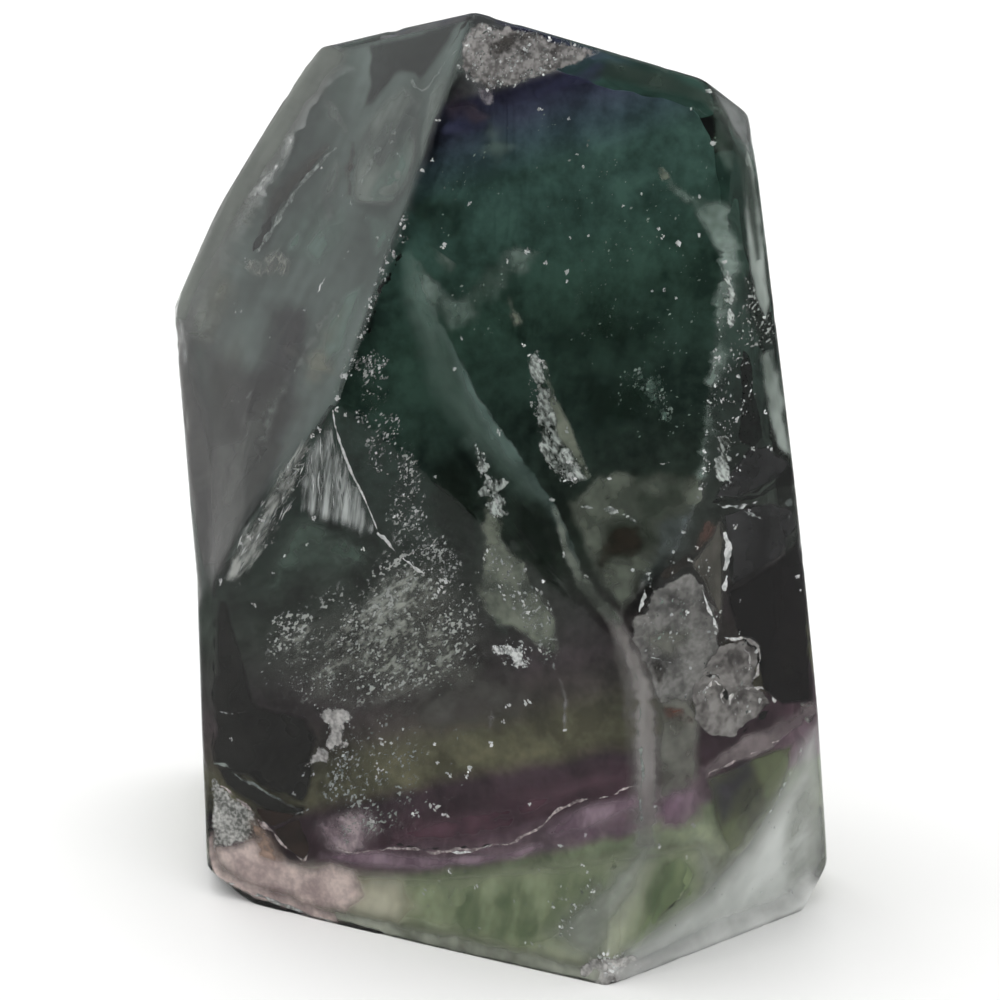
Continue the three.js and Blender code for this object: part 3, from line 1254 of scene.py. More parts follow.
# Windows: painted shade. Clear stone with nothing behind it looks dark with its depth; these dark sheets
# stand in for that dark, and for the dark of hollows and rims.
MURK = Film("clear_dark_window", "141c17", "222c25", (0.4, 0.9), 6.0, 1.4, 0.6, steep=0.0)
MURK_GREEN = Film("dark_green_depth", "1d2b23", "2c4035", (0.1, 0.7), 5.0, 2.0, 1.6)
MURK_GREY = Film("dark_grey_window_shade", "1e1e1c", "282826", (0.92, 1.0), 7.0, 0.5, 0.5)
POOL = Film("green_pool", "34463c", "5f7066", (0.4, 0.9), 4.0, 1.5, 0.8)
UMBER = Film("umber_depth", "1e1a16", "37312a", (0.1, 0.85), 3.0, 1.4, 1.0)
HOLE = Film("open_hole", "271e1a", "3a2c26", (1.0, 1.0), 2.0, 0.1, 0.1)
RIM_SHADE = Film("greyish_rim", "36433c", "55625a", (0.7, 0.95), 4.0, 0.7, 0.2, steep=0.0)

# Stained crusts: iron from the rock has run into cracks and dried there, rusty to pink.
RUST = Film("iron_stained_crack", "3f2a25", "6f5046", (0.1, 0.8), 1.6, 0.7, 0.6)
TAN = Film("tan_stained_crust", "8f7d70", "c2a694", (0.3, 0.9), 1.6, 1.0, 0.2)
PINK = Film("pinkish_crust", "c2aeac", "f8e6df", (0.85, 1.0), 2.6, 1.2, 0.1, Pattern.FROST, grain=0.22,
    grain_size=0.36)

# Growth layers: colour laid down as the crystal grew, blurred by fine clouds.
INDIGO = Film("indigo_layer", "31324a", "4d4f6c", (0.4, 0.9), 5.0, 0.9, 0.4, sweep=80, stretch=2.0)
VIOLET_GREY = Film("violet_grey_layer", "332c36", "4b434e", (0.4, 0.95), 3.0, 0.7, 0.5)
PLUM = Film("dark_plum_layer", "45303b", "6a4a57", (0.8, 1.0), 4.0, 2.4, 0.2, sweep=80, stretch=2.0)
MAUVE = Film("mauve_growth_layer", "745e6d", "ab95a2", (0.7, 1.0), 3.0, 1.4, 0.1, sweep=10, stretch=2.0,
    grain=0.2, grain_size=0.5)
MAUVE_DEEP = Film("deep_mauve_layer", "5a3f55", "86637d", (0.0, 0.4), 2.0, 0.7, 0.4, stretch=2.0, steep=0.1)
MAUVE_PALE = Film("pale_mauve_layer", "9b8791", "d2c0c5", (0.45, 1.0), 2.4, 1.4, 0.4, Pattern.FROST,
    grain=0.2, grain_size=0.4)
OLIVE = Film("dark_olive_layer", "48483f", "757d5e", (0.8, 1.0), 5.0, 0.5, 0.2, sweep=-30, stretch=1.5)
STRAW = Film("straw_green_layer", "bfbca3", "e2dfca", (0.75, 1.0), 3.5, 2.4, 0.0, sweep=25, stretch=2.0,
    steep=0.0)
FOOT_PALE = Film("pale_green_layer", "a0a78d", "cfd4ba", (0.85, 1.0), 4.0, 2.0, 0.0, sweep=12, stretch=3.0,
    steep=0.0)
FOOT_GREY = Film("grey_green_edge", "979c8d", "c2c6b8", (0.5, 1.0), 4.0, 0.9, 0.0)
LEAF = Film("clear_green_layer", "93a47c", "c9d4ae", (0.4, 0.9), 4.5, 2.6, 0.0, sweep=12, stretch=2.0,
    steep=0.0)
LEAF_DARK = Film("dark_green_spot", "55694a", "6f835f", (0.0, 0.6), 2.6, 1.8, 0.9, sweep=12, stretch=2.0,
    steep=0.0)
LEAF_DEEP = Film("deep_green_layer", "73845f", "a6b48b", (0.5, 0.95), 4.5, 2.6, 0.0, sweep=12, stretch=2.0,
    steep=0.0)
HEEL = Film("pale_green_heel", "8d957f", "c6cbb6", (0.8, 1.0), 4.0, 1.4, 0.3, sweep=20, stretch=2.0,
    steep=0.0)

# Milk: stone so full of bubbles that it is nearly white.
MILK = Film("milky_fluorite", "d6d9d5", "f4f6f3", (0.9, 1.0), 6.0, 2.4, 0.0, sweep=45, stretch=2.0,
    steep=0.0)
# Partly milk, partly painted light: pure white so the fog stays bright along the downward-facing foot.
MILK_RIM_AND_LIGHT = Film("milky_rim_painted_light", "eef0ed", "fcfdfb", (0.95, 1.0), 4.0, 2.6, 0.0, steep=0.0)
# Painted shade: a darker patch laid over the upper part of the fog.
MILK_SHADE = Film("greenish_milk_painted_shade", "868a81", "a4a89f", (0.1, 0.6), 3.5, 2.6, 0.1, sweep=45,
    stretch=1.6, steep=0.0)
SHOULDER = Film("shoulder_milk", "6c706f", "8f9392", (0.6, 0.95), 4.0, 0.4, 0.2)


# ---------------------------------------------------------------- what is sealed in the stone


@dataclass(frozen=True)
class CrownLeft(Group):
    """The smoke, folds and white streak behind the big left face of the crown."""

    inlays: tuple[Inlay, ...] = (
        Sheet("crown_smoke", SMOKE, (474, 16, 406, 214, 337, 404, 236, 560, 203, 588, 188, 430, 172, 306,
            235, 170, 319, 50), 1.15, rumple=0.1, fray=0.0),
        Ribbon("crown_edge", EDGE_SMOKE, (344, 42, 331, 60, 298, 102, 271, 142, 246, 182, 225, 222, 205, 262,
            186, 302, 180, 330), (3.0, 3.0, 1.6), 0.2, wander=0.0, uneven=0.05, keen=(20.0, 1.0)),
        Ribbon("crown_edge_low", EDGE_DUSK, (180, 300, 184, 340, 187, 380, 194, 420, 199, 460, 204, 520,
            210, 580), (1.6, 3.4, 3.0), 0.22, wander=0.0, uneven=0.05, keen=(20.0, 1.0)),
        Ribbon("crown_streak_dark", TIP_SMOKE, (206, 560, 222, 506, 250, 440, 284, 380), (1.2, 3.4, 1.4),
            0.4, wander=0.1, uneven=0.3),
        Ribbon("crown_streak_pale", PALE_SMOKE_AND_HIGHLIGHT, (226, 508, 262, 430, 300, 362, 336, 300), (0.5, 1.5, 0.8),
            0.42, wander=0.2, uneven=0.4),
        Ribbon("crown_streak_olive", SMOKE_OLIVE, (284, 436, 300, 396, 322, 350, 350, 296), (1.4, 4.0, 1.6),
            0.5, wander=0.1, uneven=0.3),
        Sheet("crown_low_shade", LOW_SMOKE, (178, 310, 226, 340, 290, 372, 322, 400, 306, 436, 252, 520,
            222, 566, 204, 594, 190, 500), 0.7, fray=0.1),
        Sheet("crown_olive_smoke", SMOKE_OLIVE, (178, 306, 212, 235, 256, 290, 250, 380, 228, 470, 204, 575,
            190, 430), 0.95, fray=0.1),
        Sheet("crown_dusk", SMOKE_DUSK, (256, 292, 290, 288, 330, 312, 322, 372, 290, 440, 240, 520,
            212, 530, 214, 450, 236, 370), 0.85, fray=0.1),
        Sheet("crown_low_light", SMOKE_TEAL, (372, 276, 350, 350, 334, 398, 300, 434, 296, 390, 318, 330,
            340, 290), 0.75, fray=0.1),
        Sheet("crown_tip_shade", TIP_SMOKE, (192, 440, 240, 430, 290, 440, 262, 505, 222, 570, 204, 596,
            194, 520), 0.55, fray=0.1),
        Sheet("crown_teal", SMOKE_TEAL, (327, 54, 345, 50, 364, 50, 358, 86, 352, 112, 338, 122, 325, 90,
            314, 78), 0.75, fray=0.1),
        Sheet("crown_slate", SLATE, (366, 42, 400, 32, 440, 20, 473, 13, 466, 28, 452, 46, 433, 76, 424, 90,
            417, 86, 410, 80, 400, 79, 394, 88, 380, 102, 366, 118, 358, 132, 355, 112, 360, 98, 368, 76),
            0.8, fray=0.15),
        Ribbon("crown_seam", SEAM_AND_SHADOW, (471, 17, 464, 31, 452, 46, 441, 62, 428, 86), (0.45, 0.16, 0.1), 0.3),
        Ribbon("crown_seam_edge", CREST, (474, 24, 463, 40, 447, 60, 432, 84, 424, 92, 417, 86, 411, 80),
            (0.2, 0.25, 0.35), 0.3),
        Sheet("crown_veil", PALE_SMOKE_AND_HIGHLIGHT, (400, 81, 412, 83, 422, 92, 430, 84, 424, 130, 414, 185, 402, 212,
            379, 210, 357, 207, 347, 197, 350, 165, 352, 138, 363, 121, 379, 103), 0.6, fray=0.15),
        Sheet("crown_veil_teal", SMOKE_TEAL, (404, 112, 420, 120, 414, 170, 404, 205, 376, 206, 362, 200,
            380, 160), 0.5, fray=0.1),
        Sheet("crown_veil_low", SMOKE_TEAL, (354, 206, 380, 208, 404, 212, 400, 236, 390, 262, 374, 268,
            362, 240), 0.65, fray=0.1),
        Ribbon("crown_veil_streak", CREST, (380, 147, 374, 160, 368, 172, 361, 185), (0.25, 0.4, 0.3), 0.4,
            uneven=0.5),
        Ribbon("crown_veil_fold", BROWN_PAINTED_SHADE, (352, 132, 350, 150, 348, 174, 347, 200), (0.7, 1.2, 0.6),
            0.5, keen=(1.0, 4.0)),
        Sheet("crown_shelf", SMOKE_TEAL, (336, 146, 348, 158, 348, 197, 358, 212, 370, 244, 352, 262,
            322, 276, 290, 262, 262, 250, 272, 229, 283, 209, 299, 187, 321, 160), 0.7, fray=0.05),
        Sheet("crown_shelf_light", PALE_SMOKE_AND_HIGHLIGHT, (336, 150, 346, 164, 344, 196, 340, 220, 322, 226, 314, 200,
            314, 174), 0.6),
        Ribbon("crown_brown_shade", BROWN_PAINTED_SHADE, (331, 141, 317, 153, 302, 166, 288, 180, 273, 200, 264, 224,
            255, 248), (0.7, 2.1, 0.4), 0.5, wander=0.05, uneven=0.15, keen=(1.0, 6.0)),
        # Painted shadow in the cleft.
        Ribbon("crown_cleft", SEAM_AND_SHADOW, (274, 216, 267, 229, 260, 241, 253, 251), (0.2, 1.1, 0.2), 0.4,
            keen=(1.0, 3.0)),
        Ribbon("crown_cleft_high", SEAM_AND_SHADOW, (314, 166, 304, 178, 294, 190), (0.1, 0.35, 0.1), 0.4),
        Ribbon("crown_cleft_edge", CREST, (338, 147, 324, 160, 310, 175, 300, 188, 284, 211, 273, 231,
            258, 254), (0.3, 0.4, 0.5), 0.3, wander=0.05, keen=(3.0, 1.0)),
        Sheet("crown_halo", GLOW, (230, 226, 240, 200, 256, 176, 272, 152, 288, 126, 300, 134, 292, 160,
            272, 190, 252, 216, 238, 234), 0.55, fray=0.1),
        Ribbon("crown_gleam", GLEAM, (273, 168, 264, 181, 254, 193, 243, 207), (1.0, 2.4, 1.4), 0.5,
            uneven=0.2),
        Ribbon("crown_gleam_core", AIR_SOFT, (269, 176, 263, 185, 255, 194, 248, 200), (0.4, 1.1, 0.4), 0.4),
        Ribbon("crown_gleam_high", AIR_SOFT, (280, 163, 276, 168, 273, 173), (0.3, 0.7, 0.3), 0.4),
        Ribbon("crown_gleam_top", AIR_SOFT, (289, 133, 288, 142, 286, 151), (0.5, 0.9, 0.4), 0.4),
        Sheet("crown_lumps", LUMPS_SOFT, (243, 256, 262, 250, 282, 246, 294, 262, 290, 280, 262, 284,
            246, 272), 0.5),
        Ribbon("crown_hem", HEM, (192, 350, 208, 284, 238, 220, 268, 160, 290, 122), (2.6, 3.2, 1.8), 0.9),
        Ribbon("crown_fold", PALE_SMOKE_AND_HIGHLIGHT, (314, 82, 326, 104, 338, 122, 352, 138), (0.8, 1.4, 0.8), 0.5,
            keen=(1.0, 2.5)),
        Ribbon("crown_dash", AIR_LINE, (326, 277, 323, 283, 318, 293), (0.1, 0.22, 0.1), 0.3),
        Ribbon("crown_dash_low", CREST, (255, 388, 249, 398, 242, 409), (0.12, 0.24, 0.12), 0.3, uneven=0.8),
        Flakes("crown_specks", DULL_SCALE, (250, 170, 330, 120, 400, 130, 390, 230, 330, 350, 230, 420,
            190, 310), 130, (0.08, 0.3), (0.2, 0.7), (0.1, 3.0), Leaves(28, slender=2.0)),
        Specks("crown_points", SCALE, (395, 134, 0.45, 392, 141, 0.4, 399, 156, 0.4, 352, 203, 0.35,
            235, 312, 0.3, 242, 311, 0.3, 247, 261, 0.35, 305, 310, 0.25, 339, 316, 0.25, 323, 168, 0.3,
            280, 136, 0.35)))


@dataclass(frozen=True)
class CapFrost(Group):
    """The frosted, unhealed break at the very top, and the violet layers beneath it."""

    inlays: tuple[Inlay, ...] = (
        Sheet("cap_violet", VIOLET_GREY, (450, 84, 472, 86, 484, 106, 492, 118, 478, 128, 446, 122,
            438, 112), 0.9),
        Sheet("cap_indigo_left", INDIGO, (446, 108, 470, 106, 494, 112, 494, 134, 470, 140, 440, 136), 1.2),
        Sheet("cap_indigo", INDIGO, (488, 100, 530, 86, 575, 68, 602, 56, 608, 64, 606, 82, 578, 92,
            540, 104, 505, 112), 0.9),
        Sheet("cap_frost", FROST, (475, 15, 526, 28, 602, 50, 597, 57, 564, 72, 542, 79, 515, 88, 495, 92,
            486, 96, 472, 84, 454, 68, 460, 40), 0.35, rumple=0.1, fray=0.25),
        Sheet("cap_shade", FROST_DARK, (490, 41, 508, 30, 540, 29, 556, 38, 530, 42, 512, 52, 500, 60,
            490, 54), 0.25),
        Sheet("cap_wedge", LILAC_FROST, (470, 82, 498, 84, 497, 108, 486, 110, 478, 100), 0.5),
        Sheet("cap_wing", PALE_SMOKE_AND_HIGHLIGHT, (474, 20, 480, 34, 472, 58, 470, 74, 456, 88, 446, 104, 436, 122,
            426, 156, 419, 166, 420, 130, 428, 92, 448, 58), 0.4, fray=0.15),
        Flakes("cap_grains", SCALE, (475, 17, 526, 30, 592, 50, 590, 58, 555, 72, 523, 84, 486, 94, 474, 84,
            456, 70), 1100, (0.08, 0.36), (0.15, 0.4), (-0.15, 1.8)),
        Specks("cap_points", BRIGHT_SCALE_AND_GLINT, (525, 50, 0.4, 468, 46, 0.4, 459, 67, 0.35, 508, 59, 0.35,
            549, 40, 0.4, 491, 28, 0.4, 515, 85, 0.35, 487, 91, 0.4, 551, 66, 0.35, 578, 51, 0.3),
            depth=0.2))


@dataclass(frozen=True)
class CrownFront(Group):
    """What hangs in the clear green stone of the upper front."""

    inlays: tuple[Inlay, ...] = (
        Sheet("front_dark", MURK_GREEN, (636, 80, 664, 82, 674, 112, 686, 150, 668, 170, 640, 152, 630, 110),
            2.6),
        Sheet("front_dark_left", MURK_GREEN, (412, 200, 452, 178, 482, 200, 480, 240, 448, 262, 414, 256),
            3.0),
        Sheet("front_dark_middle", MURK_GREEN, (545, 318, 600, 296, 650, 318, 676, 370, 664, 420, 630, 450,
            590, 440, 560, 390), 3.4),
        Ribbon("front_streak", VEIL_AND_SHEEN, (488, 112, 496, 140, 500, 172), (1.6, 3.0, 2.0), 2.0),
        Sheet("front_bright", VEIL_GREEN, (656, 166, 672, 172, 690, 188, 714, 190, 733, 196, 740, 240,
            738, 276, 722, 262, 706, 240, 690, 215, 664, 190), 1.1),
        Sheet("front_bright_high", VEIL_GREEN, (700, 90, 724, 102, 738, 134, 740, 172, 724, 178, 700, 150,
            706, 120), 1.0),
        Sheet("front_lump", GREY_GREEN, (656, 164, 664, 162, 672, 172, 672, 180, 662, 182, 655, 174), 1.2),
        Sheet("front_wash", VEIL_GREEN, (404, 225, 450, 290, 480, 260, 520, 240, 560, 246, 530, 270,
            480, 330, 450, 350, 420, 300), 3.0),
        Ribbon("front_wisp_row", VEIL_GREEN, (560, 290, 576, 297, 592, 293, 608, 297), (0.6, 1.3, 0.5), 1.4,
            wander=0.5, uneven=0.8),
        Ribbon("front_wisp_high", VEIL_GREEN, (590, 84, 604, 80, 618, 85, 622, 98), (0.3, 0.6, 0.5), 1.0,
            wander=0.3),
        # Partly a bubble veil, partly painted reflection: these two ribbons and the thread under them lay
        # the pale band that the rounded ridge mirrors.
        Ribbon("front_veil_broad", VEIL_AND_SHEEN, (402, 246, 412, 296, 431, 350, 453, 399, 481, 443, 509, 481,
            541, 512), (1.6, 4.2, 2.0), 1.7, wander=0.05, uneven=0.1, keen=(1.0, 6.0)),
        Ribbon("front_veil", KEEN_VEIL_AND_SHEEN, (438, 322, 446, 342, 467, 390, 494, 434, 522, 472, 549, 507,
            563, 534, 578, 570), (0.8, 1.7, 0.9), 1.2, wander=0.05, uneven=0.1, keen=(1.0, 4.0)),
        Ribbon("front_thread", CREST_DIM, (554, 504, 566, 548, 582, 582, 600, 604, 622, 626),
            (0.7, 1.3, 1.3), 0.25, wander=0.06, uneven=0.2),
        Ribbon("front_wisp", GREY_GREEN, (478, 262, 486, 276, 500, 282, 508, 296, 520, 328), (0.3, 0.8, 1.0),
            0.9),
        Sheet("front_sliver_body", GREY_GREEN, (538, 356, 549, 360, 558, 394, 574, 428, 588, 460, 600, 486,
            584, 482, 570, 462, 556, 436, 548, 410, 542, 385), 0.5, fray=0.15),
        Sheet("front_sliver", SILVER, (519, 328, 526, 346, 542, 356, 549, 380, 556, 408, 568, 436, 580, 462,
            590, 482, 566, 487, 547, 476, 537, 446, 533, 416, 534, 392, 526, 366), 0.65, rumple=0.3,
            rumple_span=1.4, fray=0.25),
        Flakes("front_sliver_grains", DULL_SCALE, (520, 330, 546, 356, 556, 398, 578, 440, 594, 484,
            566, 488, 546, 478, 533, 430), 520, (0.08, 0.42), (0.2, 0.5), (-0.02, 1.4), Leaves(-20)),
        Ribbon("front_ear_body", GREY_GREEN, (476, 448, 486, 486, 494, 520, 494, 550), (0.6, 1.4, 2.0), 1.0),
        Ribbon("front_ear", SILVER, (475, 438, 480, 460, 488, 482, 497, 500, 500, 518), (0.6, 1.7, 1.2), 0.8,
            rumple=0.3, uneven=0.5),
        Flakes("front_ear_grains", SCALE, (472, 436, 486, 456, 502, 488, 506, 518, 492, 522, 480, 485), 240,
            (0.1, 0.45), (0.3, 0.7), (-0.1, 1.5), Leaves(-15)),
        Sheet("front_fin", GREY_GREEN, (488, 520, 500, 516, 507, 536, 520, 550, 535, 575, 550, 598, 559, 625,
            566, 654, 560, 668, 546, 660, 530, 644, 514, 632, 494, 628, 480, 612, 474, 590, 480, 560), 1.0),
        Sheet("front_fin_frost", SPARK_FINE, (484, 545, 508, 542, 534, 574, 551, 600, 562, 640, 560, 678,
            536, 664, 528, 632, 505, 600, 484, 580), 0.8),
        Sheet("front_pocket", MURK_GREEN, (484, 612, 500, 614, 520, 632, 512, 642, 494, 636), 0.4),
        Flakes("front_fin_grains", SCALE, (484, 545, 500, 540, 525, 560, 550, 600, 562, 650, 540, 650,
            510, 610, 482, 580), 420, (0.1, 0.45), (0.3, 0.9), (0.05, 2.0), Leaves(-25)),
        Sheet("front_star", STAR_FROST, (492, 645, 502, 640, 514, 641, 526, 638, 530, 650, 524, 657,
            528, 668, 514, 668, 508, 660, 498, 657), 0.3, fray=0.5),
        Flakes("front_star_grains", BRIGHT_SCALE_AND_GLINT, (490, 648, 512, 636, 534, 646, 530, 670, 500, 664), 60,
            (0.1, 0.45), (0.2, 0.4), (-0.5, 1.5), Leaves(-30, slender=1.8)),
        Sheet("front_moss", MOSS, (622, 372, 640, 364, 654, 372, 664, 369, 669, 378, 661, 390, 668, 405,
            676, 426, 679, 434, 667, 437, 659, 424, 650, 406, 638, 396, 630, 388), 1.2, rumple=0.2,
            fray=0.5),
        Flakes("front_moss_grains", GREEN_SCALE, (622, 370, 664, 366, 668, 400, 680, 430, 668, 438,
            644, 400), 190, (0.1, 0.45), (0.4, 1.0), (-0.2, 1.5)),
        Flakes("front_haze", GREEN_SCALE, (430, 130, 580, 100, 720, 120, 735, 420, 640, 440, 560, 330,
            450, 340), 800, (0.08, 0.34), (0.6, 3.4), (0.1, 6.0), Leaves(40)),
        Specks("front_dust", SCALE, (539, 109, 0.38, 569, 119, 0.28, 578, 154, 0.25, 583, 167, 0.3,
            469, 204, 0.28, 443, 246, 0.5, 527, 252, 0.6, 546, 263, 0.34, 568, 272, 0.5, 508, 261, 0.3,
            588, 236, 0.34, 571, 238, 0.28, 658, 229, 0.34, 663, 236, 0.3, 676, 244, 0.75, 700, 235, 0.36,
            713, 143, 0.6, 707, 92, 0.4, 691, 108, 0.25, 623, 206, 0.25, 642, 194, 0.25, 567, 281, 0.3,
            699, 198, 0.4, 653, 291, 0.25, 664, 290, 0.28, 676, 298, 0.25, 455, 368, 0.4, 500, 432, 0.4,
            552, 500, 0.4, 563, 540, 0.35, 564, 556, 0.4, 436, 476, 0.3, 462, 338, 0.3, 633, 569, 0.4,
            648, 574, 0.4, 682, 532, 0.4, 674, 552, 0.35, 586, 577, 0.3)),
        Ribbon("front_arc", THREAD, (581, 506, 600, 508, 617, 511, 629, 517, 640, 524, 646, 530),
            (0.12, 0.32, 0.12), 0.6, uneven=0.9),
        Specks("front_bits", BRIGHT_SCALE_AND_GLINT, (542, 362, 0.5, 544, 368, 0.45, 566, 452, 0.7, 573, 476, 0.75,
            570, 462, 0.5, 566, 480, 0.4, 618, 511, 0.25, 628, 516, 0.25, 609, 479, 0.35, 524, 345, 0.35,
            484, 470, 0.4, 497, 500, 0.4, 544, 582, 0.35, 528, 612, 0.4, 540, 650, 0.35, 530, 356, 0.35),
            depth=0.35),
        Sheet("front_crest_shade", RIM_SHADE, (606, 55, 660, 66, 704, 82, 728, 108, 736, 132, 722, 124,
            700, 106, 640, 92, 600, 84, 572, 84), 0.5, fray=0.1),
        Sheet("front_crest_side", RIM_SHADE, (722, 112, 740, 132, 756, 170, 764, 250, 768, 300, 752, 262,
            742, 200), 0.5, fray=0.1),
        Sheet("front_slab", SLAB, (562, 500, 600, 472, 640, 465, 704, 463, 708, 500, 690, 540, 672, 565,
            650, 590, 624, 616, 600, 590, 576, 545), 1.5),
        Sheet("front_slab_blue", SLAB_BLUE, (648, 520, 690, 498, 707, 500, 692, 545, 660, 586, 634, 606,
            630, 580, 650, 550), 1.2),
        Sheet("front_umber", UMBER, (596, 526, 640, 522, 652, 545, 636, 566, 616, 560, 606, 590, 592, 570),
            1.1),
        Ribbon("front_slab_edge", THREAD, (640, 466, 650, 464, 662, 464, 674, 463), (0.08, 0.14, 0.06), 0.9,
            uneven=0.7))


@dataclass(frozen=True)
class Comb(Group):
    """The combed three-cornered crack under the left ridge, with its bright edge."""

    inlays: tuple[Inlay, ...] = (
        Sheet("comb_haze", FAINT_HAZE, (308, 432, 276, 466, 240, 520, 222, 562, 210, 586, 216, 548, 244, 484,
            276, 444), 0.6),
        Sheet("comb_pool", POOL, (298, 512, 326, 508, 356, 526, 388, 552, 372, 574, 330, 580, 290, 596,
            256, 606, 258, 565, 280, 530), 2.0),
        Sheet("comb_fan", COMB_FILL, (332, 412, 341, 440, 352, 468, 366, 495, 382, 532, 360, 544, 344, 530,
            318, 524, 298, 512, 294, 484, 304, 452, 318, 430), 0.8, fray=0.2),
        Flakes("comb_hairs", SCALE, (320, 436, 336, 430, 348, 470, 356, 506, 340, 506, 318, 500, 304, 492,
            308, 460), 240, (0.5, 2.2), (0.25, 0.6), (-0.2, 1.0), Leaves(2, 4, 14.0, 2.0)),
        Sheet("comb_flank", FLANK_FILL, (314, 436, 306, 462, 298, 500, 262, 560, 236, 588, 214, 580,
            232, 545, 252, 505, 280, 460, 300, 438), 0.7),
        Flakes("comb_flank_hairs", SCALE, (310, 446, 306, 476, 290, 512, 256, 560, 226, 580, 236, 545,
            262, 500, 292, 456), 300, (0.3, 1.6), (0.25, 0.6), (-0.1, 1.4), Leaves(33, 7, 9.0, 2.4)),
        Sheet("comb_glitter", SPARK_FINE, (318, 432, 308, 470, 300, 505, 270, 556, 240, 590, 214, 590,
            236, 540, 270, 480), 0.4),
        Ribbon("comb_edge", AIR_LINE, (333, 410, 335, 424, 339, 438, 344, 453), (0.14, 0.24, 0.42), 0.3,
            wander=0.0, uneven=0.15),
        Ribbon("comb_edge_low", AIR_LINE, (343, 450, 351, 471, 363, 494, 371, 513, 378, 530),
            (0.34, 0.24, 0.18), 0.3, wander=0.0, uneven=0.15),
        Ribbon("comb_edge_two", AIR_LINE, (377, 533, 386, 541, 396, 551), (0.25, 0.4, 0.2), 0.3, uneven=0.6),
        Ribbon("comb_edge_three", AIR_LINE, (404, 557, 413, 567, 424, 574), (0.2, 0.4, 0.2), 0.3,
            uneven=0.6),
        Specks("comb_points", BRIGHT_SCALE_AND_GLINT, (444, 580, 0.75, 440, 589, 0.6, 435, 596, 0.5, 204, 581, 0.55,
            312, 436, 0.4, 320, 430, 0.4, 262, 520, 0.5, 250, 536, 0.4, 240, 543, 0.4, 364, 549, 0.35,
            285, 555, 0.3, 274, 573, 0.3, 255, 605, 0.35, 307, 544, 0.3, 315, 518, 0.4, 346, 415, 0.35,
            338, 400, 0.4), depth=0.3))


